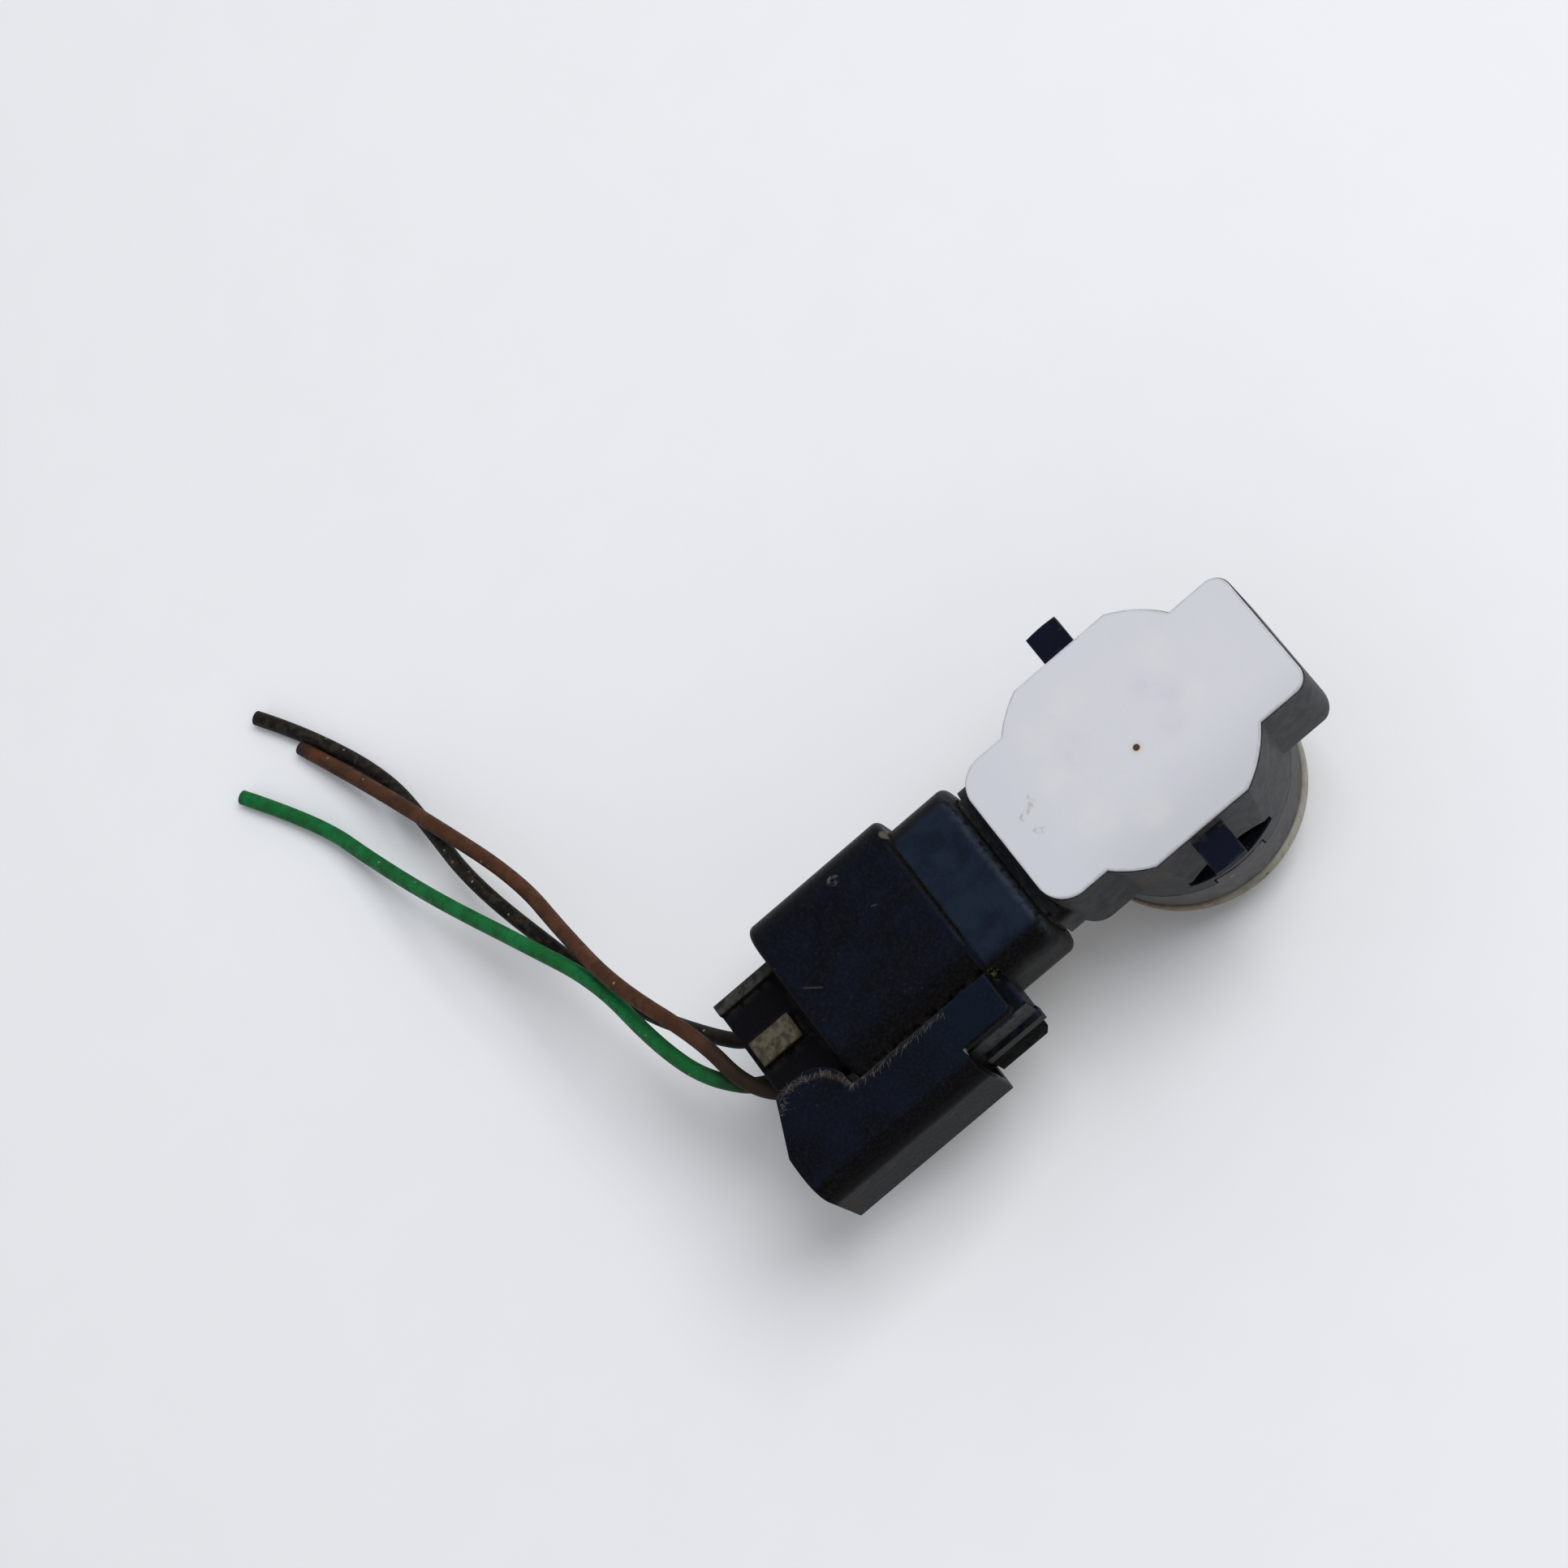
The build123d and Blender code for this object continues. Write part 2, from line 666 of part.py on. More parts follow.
def plug_shoulder(gap):
    """The round side of the plug's body with a gap round it."""
    plane = Plane((-main_rear - gap, main_half_height - main_near_side, connector_z), z_dir=(1, 0, 0))
    return extrude(plane * Circle(main_half_height + gap), amount=main_rear - rail_front + gap)


def outer_long_edges(lever):
    """The long edges of the lever's outer side, the lowest first."""
    edges = lever.edges().filter_by(Axis.X)
    return edges.filter_by(lambda edge: edge.center().Y < -lever_side + wall / 2).sort_by(Axis.Z)


def lever_cuts(inner_low, inner_high):
    """What is taken out of the lever: its channel, the way for the wires, and its front window."""
    rear = -lever_rear
    front = -lever_front
    window = -lever_window_end
    return (
        block((rear + lever_wall, front), (-lever_side + lever_wall, 0), (inner_low, inner_high)),
        block((rear - wall, rear + 2 * lever_wall), (-lever_pad_slope_end_y + wall, 0),
              (inner_low, inner_high)),
        block((rear - wall, front), (-arm_inner_y, 0), (lever_bottom, inner_low)),
        block((window, front), (-lever_side, -lever_bridge_reach), (lever_bottom, lever_top)),
        block((window, front), (-lever_side, 0), (lever_bottom, inner_high)),
    )


def rounded_bridge(lever):
    """The lever with the corner and the upper edges of its front bridge rounded."""
    corner = (-lever_front, -lever_bridge_reach, lever_top)
    lever = fillet(lever.edges().filter_by(Axis.Z).sort_by_distance(corner)[0], lever_front_corner)
    upper = lever.edges().group_by(Axis.Z)[-1]
    ahead = upper.filter_by(lambda edge: edge.center().X > -lever_window_end)
    outer = ahead.filter_by(lambda edge: edge.center().Y < -lever_bridge_reach + lever_front_corner)
    return fillet(outer, lever_bridge_round)


def latch_lever():
    """The press lever: a channel open towards the plug, pivot stubs, and the arm with its hook."""
    lever = Pos(0, 0, lever_bottom) * extrude(lever_plan(), amount=lever_top - lever_bottom)
    lever = fillet(outer_long_edges(lever)[-1], lever_outer_round)
    lever = fillet(outer_long_edges(lever)[0], lever_under_round)
    inner_low = lever_bottom + lever_plate
    inner_high = lever_top - lever_plate
    for cut in lever_cuts(inner_low, inner_high):
        lever -= cut
    lever = rounded_bridge(lever)
    body_space = plug_shoulder(lever_body_gap)
    turn = Pos(pivot_x, pivot_y, 0) * Rot(0, 0, lever_travel_deg) * Pos(-pivot_x, -pivot_y, 0)
    lever -= body_space + turn * body_space
    arm_low = connector_z + hook_height / 2 - arm_height
    lever += block((-arm_rear, -arm_front), (-arm_inner_y - arm_thickness, -arm_inner_y),
                   (arm_low, inner_high))
    foot = connector_y - shroud_half_width
    lever += block((-arm_front - hook_length, -arm_front), (-arm_inner_y, foot - hook_gap),
                   (connector_z - hook_height / 2, connector_z + hook_height / 2))
    stub = extrude(Circle(pivot_bore_radius - pivot_clearance), amount=pivot_stub_length + pivot_end_gap)
    for low in (inner_low, inner_high - pivot_stub_length - pivot_end_gap):
        lever += Pos(pivot_x, pivot_y, low) * stub
    return lever


def terminal(y):
    """A socket terminal: a hollow box for the pin, a neck and a crimped barrel."""
    half = cavity_size / 2 - cavity_clearance
    front = -nose_front - cavity_front_wall - cavity_clearance
    rear = front - terminal_box_length
    bore = terminal_bore / 2
    neck = terminal_neck_size / 2
    box = block((rear, front), (y - half, y + half), (connector_z - half, connector_z + half))
    box -= block((-pin_tip - pin_size, front), (y - bore, y + bore),
                 (connector_z - bore, connector_z + bore))
    box += block((rear - terminal_neck_length, rear), (y - neck, y + neck),
                 (connector_z - neck, connector_z + neck))
    crimp = cross_plane(-crimp_end, y) * Circle(crimp_radius)
    return box + extrude(crimp, amount=rear - terminal_neck_length + crimp_end)


def interface_seal():
    """The ring in the nose's groove that seals against the shroud."""
    outer_width = shroud_half_width - shroud_wall
    outer_height = shroud_half_height - shroud_wall
    depth = nose_clearance + nose_groove_depth
    ring = bar_along_x(nose_groove_front, nose_groove_rear, outer_width, outer_height,
                       shroud_corner - shroud_wall)
    return ring - bar_along_x(nose_groove_front, nose_groove_rear, outer_width - depth,
                              outer_height - depth, nose_corner)


def wire_seal():
    """The soft block behind the terminals, with one bore for each wire."""
    seal = bar_along_x(seal_front, seal_rear, seal_half_width, seal_half_height, seal_corner)
    for y in rows:
        bore = cross_plane(-seal_rear, y) * Circle(wire_diameter / 2)
        seal -= extrude(bore, amount=seal_rear - seal_front)
    return seal


def rear_holder():
    """The hood behind the plug: a tunnel round the wires, a rib on its edge and a key rib on top."""
    length = (-holder_rear, -main_rear)
    rib_side = holder_high_side - edge_rib_width
    hood = block(length, (holder_low_side, holder_high_side), (holder_bottom, holder_top))
    hood = fillet(hood.edges().filter_by(Axis.X), holder_corner)
    edge_rib = block(length, (rib_side, holder_high_side), (connector_z, holder_top + edge_rib_height))
    hood += fillet(edge_rib.edges().group_by(Axis.Z)[-1].filter_by(Axis.X), holder_rib_round)
    key_rib = block((-key_rib_rear, -key_rib_front),
                    (key_rib_y - key_rib_width / 2, key_rib_y + key_rib_width / 2),
                    (holder_top - holder_wall / 2, holder_top + key_rib_height))
    hood += fillet(key_rib.edges().group_by(Axis.Z)[-1], holder_rib_round)
    hood -= block(length, (holder_low_side + holder_wall, rib_side),
                  (holder_bottom + holder_wall, holder_top - holder_wall))
    hood += bar_along_x(seal_rear, main_rear + holder_wall, seal_half_width - ring_clearance,
                        seal_half_height - ring_clearance, seal_corner)
    hole = Circle(wire_diameter / 2 + holder_hole_gap)
    for y in rows:
        place = cross_plane(-main_rear - holder_wall, y)
        hood -= extrude(place * hole, amount=main_rear + holder_wall - seal_rear)
    return hood


def wire(colour):
    """A wire: straight runs joined by tangent arcs, as large as the runs allow."""
    points = [Vector(*point) for point in wire_routes[colour]]
    radii = []
    for before, point, after in zip(points[:-2], points[1:-1], points[2:]):
        turn = (point - before).get_angle(after - point)
        shorter = min((point - before).length, (after - point).length)
        radii.append(wire_arc_share * shorter / math.tan(math.radians(turn / 2)))
    path = FilletPolyline(*points, radius=radii)
    section = Plane(points[0], z_dir=points[1] - points[0]) * Circle(wire_diameter / 2)
    tube = sweep(section, path=path)
    share = tube.volume / (math.pi * (wire_diameter / 2) ** 2 * path.length)
    print(colour, "length", round(path.length, 1), "radii", [round(radius, 1) for radius in radii],
          "volume over section times length", round(share, 4))
    return tube


def all_parts():
    """Every node's name and solid."""
    board_low = floor_height + board_post_height
    board_top = board_low + board_thickness
    foam_low = membrane_thickness + disc_thickness
    foam_high = foam_low + foam_thickness
    parts = {
        "sensor_housing": sensor_housing(),
        "potting": potting(),
        "retaining_ring": retaining_ring(),
        "decoupling_ring": decoupling_ring(),
        "transducer_cup": transducer_cup(),
        "piezo_disc": solid_ring(disc_radius, 0, membrane_thickness, foam_low),
        "damping_foam": cup_filling(foam_low, foam_high),
        "cup_seal": cup_filling(foam_high, cup_height),
        "transducer_lead_a": lead(1, lead_radius, foam_low, board_top + lead_stand_out),
        "transducer_lead_b": lead(-1, lead_radius, foam_low, board_top + lead_stand_out),
        "circuit_board": circuit_board(board_low),
        "transformer_core": transformer_core(board_top),
        "transformer_winding": transformer_winding(board_top),
        "driver_chip": driver_chip(board_top),
        "ceramic_capacitors": ceramic_capacitors(board_top),
        "storage_capacitor": storage_capacitor(board_low),
        "plug_housing": plug_housing(),
        "latch_lever": latch_lever(),
        "interface_seal": interface_seal(),
        "wire_seal": wire_seal(),
        "rear_holder": rear_holder(),
    }
    for y, name, colour in zip(rows, row_names, row_colours):
        parts["header_pin_" + name] = pin_solid(y)
        parts["terminal_" + name] = terminal(y)
        parts["wire_" + colour] = wire(colour)
    return parts


for node, shape in all_parts().items():
    export_step(shape, "parts/" + node + ".step")
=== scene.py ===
import math

import bpy
import numpy as np
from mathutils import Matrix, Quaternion, Vector


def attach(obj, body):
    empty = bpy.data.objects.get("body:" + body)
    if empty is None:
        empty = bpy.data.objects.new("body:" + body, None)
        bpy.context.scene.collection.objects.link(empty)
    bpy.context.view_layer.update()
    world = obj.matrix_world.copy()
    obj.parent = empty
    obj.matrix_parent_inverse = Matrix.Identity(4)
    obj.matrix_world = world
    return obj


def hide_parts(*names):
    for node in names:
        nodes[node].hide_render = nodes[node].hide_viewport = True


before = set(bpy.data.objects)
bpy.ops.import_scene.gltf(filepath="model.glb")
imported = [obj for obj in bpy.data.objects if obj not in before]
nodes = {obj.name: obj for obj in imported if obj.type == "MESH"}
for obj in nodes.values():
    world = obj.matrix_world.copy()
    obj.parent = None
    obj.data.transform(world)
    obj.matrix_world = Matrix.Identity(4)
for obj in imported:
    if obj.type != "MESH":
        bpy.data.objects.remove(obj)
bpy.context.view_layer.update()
draw = np.random.default_rng(seed=11)

mm = 0.001


def top_of(name):
    """The height of a node's highest corner, in millimetres."""
    node = nodes[name]
    return max((node.matrix_world @ Vector(corner)).z for corner in node.bound_box) / mm


# The camera, where the photographer held it: its place, what it looks at, its roll and its lens
camera_place = (0.02272, -0.14329, 0.38842)
camera_aim = (-0.02884, 0.01986, 0.026)
camera_roll = math.radians(56.71)
camera_lens = 94.16
camera_film = 36.0
camera_nearest = 0.01
camera_farthest = 20.0

# The table and the light. A sky stop is a height, from 0 at the horizon to 1 overhead, and its colour
table_colour = (0.745, 0.772, 0.800)
table_clouds = tuple(0.985 * part for part in table_colour)
table_reach = 6.0
sky_low_edge = (0.45, 0.45, 0.47)
sky_warm = (0.80, 0.75, 0.66)
sky_middle = (0.74, 0.70, 0.64)
sky_overhead = (0.42, 0.435, 0.50)
sky_stops = ((0.00, sky_low_edge), (0.32, sky_warm), (0.55, sky_middle), (0.70, sky_overhead),
             (1.00, sky_overhead))
window_place = (0.56, 0.0, 0.97)
window_size = 0.70
window_power = 9.2
window_colour = (1.0, 0.985, 0.975)

# The wires: their thickness, and the points of each route, in metres
wire_diameter = 0.00165
wire_routes = {
    "black": [
        (-0.0370, 0.0043, 0.0185), (-0.0430, 0.0043, 0.0185), (-0.0482, 0.0046, 0.0173),
        (-0.0519, 0.0094, 0.0146), (-0.0566, 0.0172, 0.0121), (-0.0603, 0.0284, 0.0085),
        (-0.0643, 0.0429, 0.0070), (-0.0656, 0.0541, 0.0025), (-0.0666, 0.0628, 0.00085),
        (-0.0713, 0.0736, 0.0009), (-0.0747, 0.0790, 0.00085),
    ],
    "green": [
        (-0.0370, 0.0009, 0.0185), (-0.0430, 0.0009, 0.0185), (-0.0495, 0.0002, 0.0154),
        (-0.0544, 0.0053, 0.0160), (-0.0569, 0.0128, 0.0143), (-0.0583, 0.0225, 0.0130),
        (-0.0629, 0.0325, 0.0103), (-0.0685, 0.0445, 0.0066), (-0.0727, 0.0550, 0.0025),
        (-0.0757, 0.0640, 0.0009), (-0.08115, 0.07265, 0.00085),
    ],
    "brown": [
        (-0.0370, -0.0025, 0.0185), (-0.0426, -0.0025, 0.0185), (-0.0479, -0.0025, 0.0176),
        (-0.0514, 0.0017, 0.0174), (-0.0523, 0.0086, 0.0174), (-0.0565, 0.0196, 0.0157),
        (-0.0585, 0.0296, 0.0115), (-0.0599, 0.0398, 0.0077), (-0.0648, 0.0534, 0.0056),
        (-0.0691, 0.0644, 0.0021), (-0.0725, 0.0724, 0.00085),
    ],
}

# How finely a wire is drawn: the steps between two points of its route, and those of its round
wire_steps = 14
wire_roundness = 6

# The copper in each wire: domed strands on a circle round a middle one. Widths are shares of the radius
strand_radius = 0.12 * mm
strand_circle = 0.26 * mm
strands_round = 6
strand_depth = 1.2 * mm
strand_stand_out = 0.07 * mm
strand_root_width = 0.96
strand_tip_width = 0.02
strand_dome_steps = 4
strand_sides = 8

# From here on, sizes and places are in millimetres. First the tops of the solids
potting_top = top_of("potting")
plug_top = top_of("plug_housing")
lever_top = top_of("latch_lever")
hood_top = top_of("rear_holder")

# The lever's side leans in above this height, and the rail's side below its ridge
lever_lean_bottom = 18.1
lever_lean = 1.4
ridge_top = 17.6
ridge_bottom = 16.2
rail_bottom = 12.0
rail_lean = 5.5

# Fibres along the lever's inner edge. From swept_from on they lie away from the plug
fibre_count = 130
fibre_radius = 0.012
fibre_edge = ((-49.2, -5.2), (-47.9, -3.35), (-45.6, -3.2), (-43.2, -3.9), (-42.0, -5.6), (-41.7, -7.2),
              (-38.0, -7.45), (-30.5, -7.45))
fibre_inset = (0.05, 0.5)
fibre_reach = (0.25, 0.7)
fibre_sway = 0.22
fibre_lift = 0.15
fibre_lift_change = 0.25
fibre_droop = 0.8
fibre_taper = (0.3, 1.0, 1.0, 0.9, 0.7, 0.05)
fibre_sides = 5
swept_from = -45.2

# Grains in the notch behind the sleeve. grain_pole is the angle left out at each pole
grain_count = 30
grain_low = (-24.55, -7.6, 20.62)
grain_high = (-23.85, -4.9, 20.75)
grain_size = (0.04, 0.13)
grain_pole = 0.02
grain_rings = 6
grain_sides = 8
grain_waves = 0.25
grain_bulge = 0.18

# Layers and marks. A name that ends in x, y or z is where a layer starts and where it is full on that axis.
# A spot is its place, its radius and its soft rim. A streak is its start, its end and half its width.

# The housing
housing_film_and_reflection_z = (17.5, 13.0)
housing_lit_x = (-4.0, 6.0)
collar_x = (-15.6, -15.9)
reddish_spot = ((-7.7, -11.0, 21.0), 1.2, 2.6)
lug_spots = (((0.0, 14.2, 24.0), 2.3, 0.3), ((0.0, -14.2, 24.0), 2.3, 0.3))
collar_streak = ((-16.7, -8.3, 22.5), (-16.0, -7.2, 23.6), 0.09)

# The potting. A cloud or a blotch is x, y and its soft rim
potting_low_y = (-3.0, -11.0)
potting_left_x = (-6.0, -14.0)
cloud_radius = 0.5
clouds = ((-2.2, 7.3, 2.6), (7.0, 5.1, 2.4), (-6.9, 6.4, 2.6), (-7.8, 1.6, 2.2), (-6.9, -4.0, 2.6),
          (7.7, -1.2, 2.0), (-2.5, -7.2, 2.2))
blotch_radius = 0.3
blotches = ((4.3, 3.2, 2.0), (5.6, 1.0, 1.9), (4.2, -1.6, 1.8), (-4.9, 2.8, 2.4), (1.8, -6.0, 1.8))
stain_streaks = (
    ((-12.6, 0.9, potting_top), (-10.9, 1.5, potting_top), 0.5),
    ((-12.4, -1.0, potting_top), (-11.8, -1.4, potting_top), 0.45),
    ((-11.0, 2.1, potting_top), (-10.9, 2.2, potting_top), 0.25),
)
hole_place = (0.04, -1.16, potting_top)
halo_spot = (hole_place, 0.3, 0.7)
hole_spot = (hole_place, 0.26, 0.16)

# The rings
scuff_streaks = (
    ((-2.0, -12.1, 11.3), (-1.4, -12.2, 11.0), 0.10),
    ((-1.7, -12.1, 11.6), (-1.2, -12.2, 11.2), 0.10),
)
flange_lit_x = (0.0, 5.0)
flange_brown_x = (-1.0, -8.0)
fleck_spot = ((0.9, -12.35, 5.9), 0.14, 0.1)

# The plug
sleeve_x = (-24.5, -24.0)
plug_front_x = (-18.6, -17.7)
scratch_streaks = (
    ((-39.6, 2.7, plug_top), (-38.1, 1.5, plug_top), 0.10),
    ((-34.6, -2.6, plug_top), (-34.0, -3.5, plug_top), 0.07),
    ((-29.5, 4.6, plug_top), (-29.0, 4.4, plug_top), 0.10),
    ((-41.0, 6.4, 24.6), (-40.2, 5.6, 24.6), 0.07),
    ((-24.96, -4.8, 23.0), (-24.99, -6.9, 22.0), 0.09),
)
mark_place = (-31.0, 9.38, plug_top)
mark_outer_spot = (mark_place, 0.50, 0.25)
mark_inner_spot = (mark_place, 0.15, 0.30)
pit_spot = ((-24.26, 9.65, 24.1), 0.45, 0.3)
notch_spot = ((-24.2, -6.3, 20.6), 0.8, 1.4)
rail_face_y = (-11.4, -11.7)
rail_grey_x = (-31.0, -29.4)
above_ridge_z = (ridge_top, ridge_top + 0.15)
ridge_face_y = (-12.45, -12.55)
ridge_upper_z = (ridge_top, ridge_top - 0.2)
ridge_lower_z = (ridge_bottom - 0.1, ridge_bottom + 0.1)
rail_lean_z = (rail_bottom, ridge_bottom)

# The lever
lever_reflection_x = (-41.0, -29.0)
lever_lower_z = (lever_lean_bottom + 0.25, lever_lean_bottom - 0.15)
lever_lean_z = (lever_lean_bottom, lever_top)
lever_rear_spot = ((-49.8, -13.4, 15.6), 0.8, 1.8)
inner_edge_y = (-8.1, -7.5)
inner_front_x = (-29.0, -33.0)
inner_rear_x = (-42.6, -41.6)
crest_half_width = 0.42
crest = ((-48.4, -3.5, lever_top), (-45.6, -3.6, lever_top), (-43.5, -4.6, lever_top),
         (-42.3, -6.2, lever_top), (-41.9, -7.4, lever_top))
opening_half_width = 0.30
opening_edge = ((-31.14, -12.05, 22.5), (-31.5, -12.6, 19.0), (-31.4, -13.3, 15.0), (-31.3, -13.4, 12.0))

# The hood
key_spot = ((-45.4, 1.75, hood_top), 2.6, 0.5)
key_z = (hood_top - 0.6, hood_top)
key_bare_x = (-45.0, -47.0)
hood_edge_y = (7.5, 7.7)

# The wires
wire_shade_y = (13.0, 3.0)
wire_shade_x = (-56.0, -51.0)
cut_spots = {"black": ((-74.7, 79.0, 0.85), 0.7, 0.8), "brown": ((-72.5, 72.4, 0.85), 0.7, 1.4)}

# The parts inside
winding_pitch = 0.9
low_legs_y = (-5.38, -5.42)
high_legs_y = (-1.02, -0.98)
capacitor_places = ((-5.5, -6.5), (-2.5, -6.5), (0.5, -6.5), (-6.5, 5.5))
capacitor_height = 21.4
capacitor_half_length = 0.95
capacitor_end_radius = 0.5
capacitor_end_rim = 0.35
neck_place = (2.0, 0.0, 17.7)
neck_outer_spot = (neck_place, 2.3, 0.2)
neck_inner_spot = (neck_place, 2.0, 0.2)

# Colours are linear red, green and blue. First the black mouldings, what lies on all of them, and the
# reflections painted on them
moulding_black = (0.0022, 0.0020, 0.0019)
moulding_sky_reflection = (0.0030, 0.0048, 0.0108)
grain_light = (0.0072, 0.0082, 0.0120)
grey_film_and_reflection = (0.060, 0.061, 0.060)
brown_film = (0.085, 0.060, 0.045)
dust = (0.188, 0.152, 0.108)
rubbed_plastic = (0.11, 0.115, 0.12)

# The housing
low_film_and_reflection = (0.080, 0.082, 0.088)
lit_film = (0.094, 0.098, 0.105)
collar_shade_grey = (0.0200, 0.0235, 0.0290)
reddish_dirt = (0.095, 0.050, 0.040)
lug_sky_reflection = (0.0042, 0.0060, 0.0135)
scratch_grey = (0.10, 0.10, 0.11)

# The potting
casting_white = (0.594, 0.600, 0.620)
casting_rim = (0.485, 0.512, 0.575)
casting_low_side = (0.452, 0.474, 0.506)
casting_left_side = (0.505, 0.530, 0.572)
cloud_cream = (0.612, 0.606, 0.580)
blotch_grey = (0.50, 0.51, 0.56)
freckle_grey = (0.50, 0.49, 0.47)
stain_green = (0.26, 0.27, 0.18)
hole_halo = (0.50, 0.46, 0.36)
hole_brown = (0.060, 0.034, 0.020)
border_shade_grey = (0.17, 0.18, 0.19)

# The retaining ring
ring_black = (0.010, 0.010, 0.011)
ring_light = (0.030, 0.030, 0.033)
ring_film = (0.080, 0.079, 0.081)
ring_brown = (0.085, 0.066, 0.048)
ring_scuff = (0.40, 0.40, 0.41)
ring_edge = (0.22, 0.22, 0.21)

# The soft ring and the seals
silicone_grime = (0.115, 0.100, 0.070)
silicone_specks = (0.03, 0.03, 0.02)
flange_shade = (0.185, 0.180, 0.140)
flange_grime = (0.095, 0.092, 0.062)
flange_lit = (0.36, 0.35, 0.31)
flange_brown = (0.15, 0.095, 0.055)
fleck_black = (0.02, 0.02, 0.015)

# The plug
sleeve_sky_reflection = (0.0108, 0.0180, 0.0340)
front_highlight_grey = (0.040, 0.052, 0.066)
plug_scratch = (0.055, 0.060, 0.068)
mark_grey = (0.090, 0.090, 0.090)
pit_grey = (0.085, 0.078, 0.060)
rail_grey = (0.048, 0.052, 0.054)
ridge_grey = (0.042, 0.044, 0.044)
notch_dirt = (0.26, 0.225, 0.13)

# The lever
lever_sky_reflection = (0.0040, 0.0090, 0.0175)
lever_film_and_reflection = (0.045, 0.055, 0.055)
lever_brown = (0.045, 0.028, 0.024)
lever_red = (0.080, 0.052, 0.046)
inner_dust = (0.036, 0.035, 0.031)
crest_dust = (0.046, 0.041, 0.032)
worn_and_lit_plastic = (0.26, 0.26, 0.25)

# The hood
hood_black = (0.0034, 0.0030, 0.0032)
key_dust = (0.042, 0.037, 0.026)
key_clumps = (0.105, 0.094, 0.066)
key_bare = (0.006, 0.005, 0.004)
edge_dust = (0.044, 0.044, 0.039)

# The wires: the insulation, its paler clouds, its dirt and how much of that there is
insulation_looks = {
    "black": ((0.0036, 0.0033, 0.0029), (0.0080, 0.0069, 0.0054), (0.030, 0.023, 0.015), 0.6),
    "green": ((0.003, 0.092, 0.020), (0.005, 0.150, 0.045), (0.012, 0.048, 0.018), 0.45),
    "brown": ((0.046, 0.016, 0.007), (0.086, 0.034, 0.015), (0.030, 0.017, 0.010), 0.55),
}
copper_red = (0.80, 0.38, 0.20)
copper_tarnish = (0.30, 0.14, 0.08)
wire_plug_shade = (0.012, 0.010, 0.008)
wire_flecks = (0.22, 0.19, 0.13)
cut_black = (0.012, 0.012, 0.012)

# Loose dirt, each in two shades
hair_dark = (0.10, 0.09, 0.075)
hair_pale = (0.20, 0.19, 0.165)
dirt_dark = (0.13, 0.11, 0.06)
dirt_pale = (0.26, 0.23, 0.15)

# The painted cup
cup_brown = (0.26, 0.13, 0.06)
cup_flakes = (0.40, 0.23, 0.12)
cup_metal = (0.62, 0.61, 0.59)
cup_chips = (0.55, 0.54, 0.52)

# The parts inside
disc_silver = (0.75, 0.75, 0.73)
disc_tarnish = (0.45, 0.44, 0.40)
compound_grey = (0.42, 0.42, 0.41)
tin = (0.72, 0.70, 0.66)
lead_tarnish = (0.42, 0.40, 0.37)
pin_tarnish = (0.50, 0.46, 0.38)
terminal_tin = (0.70, 0.68, 0.62)
terminal_tarnish = (0.50, 0.42, 0.28)
ring_seal_red = (0.26, 0.12, 0.07)
block_seal_grey = (0.28, 0.27, 0.25)
board_green = (0.018, 0.105, 0.040)
track_green = (0.030, 0.170, 0.062)
pad_tin = (0.66, 0.65, 0.61)
enamel = (0.42, 0.14, 0.045)
enamel_light = (0.62, 0.26, 0.09)
foam_grey = (0.20, 0.20, 0.20)
foam_pores = (0.07, 0.07, 0.07)
chip_black = (0.022, 0.022, 0.023)
chip_light = (0.035, 0.035, 0.036)
leg_tin = (0.62, 0.61, 0.58)
ferrite_black = (0.060, 0.060, 0.062)
ceramic_tan = (0.35, 0.26, 0.17)
ceramic_brown = (0.26, 0.185, 0.115)
end_tin = (0.66, 0.65, 0.62)
can_silver = (0.72, 0.72, 0.73)
can_tarnish = (0.52, 0.52, 0.52)
neck_grey = (0.35, 0.35, 0.36)


def make_camera():
    """The camera looks from its place to its aim, then is rolled about that line."""
    data = bpy.data.cameras.new("camera")
    camera = bpy.data.objects.new("camera", data)
    bpy.context.scene.collection.objects.link(camera)
    sight = Vector(camera_aim) - Vector(camera_place)
    turn = Quaternion(sight.normalized(), camera_roll)
    camera.location = camera_place
    camera.rotation_mode = "QUATERNION"
    camera.rotation_quaternion = turn @ sight.to_track_quat("-Z", "Y")
    data.lens = camera_lens
    data.sensor_width = camera_film
    data.clip_start = camera_nearest
    data.clip_end = camera_farthest
    bpy.context.scene.camera = camera


def route_curve(name, route):
    """One smooth spline through a route's points. It shows no thickness until its bevel is set."""
    curve = bpy.data.curves.new(name, "CURVE")
    curve.dimensions = "3D"
    curve.resolution_u = wire_steps
    spline = curve.splines.new("NURBS")
    spline.points.add(len(route) - 1)
    for point, place in zip(spline.points, route):
        point.co = (*place, 1.0)
        point.radius = wire_diameter / 2
    spline.order_u = 3
    spline.use_endpoint_u = True
    wire = bpy.data.objects.new(name, curve)
    bpy.context.scene.collection.objects.link(wire)
    return wire


def line_of(wire):
    """The points that the spline passes through, read before it gets its thickness."""
    mesh = bpy.data.meshes.new_from_object(wire)
    line = np.empty(len(mesh.vertices) * 3)
    mesh.vertices.foreach_get("co", line)
    bpy.data.meshes.remove(mesh)
    return line.reshape(-1, 3)


def new_piece(name, points, faces, smooth=True):
    """A mesh object at the origin from arrays of points and four-cornered faces."""
    mesh = bpy.data.meshes.new(name)
    mesh.from_pydata(points.tolist(), [], faces.tolist())
    mesh.polygons.foreach_set("use_smooth", np.full(len(mesh.polygons), smooth))
    mesh.update()
    piece = bpy.data.objects.new(name, mesh)
    bpy.context.scene.collection.objects.link(piece)
    return piece


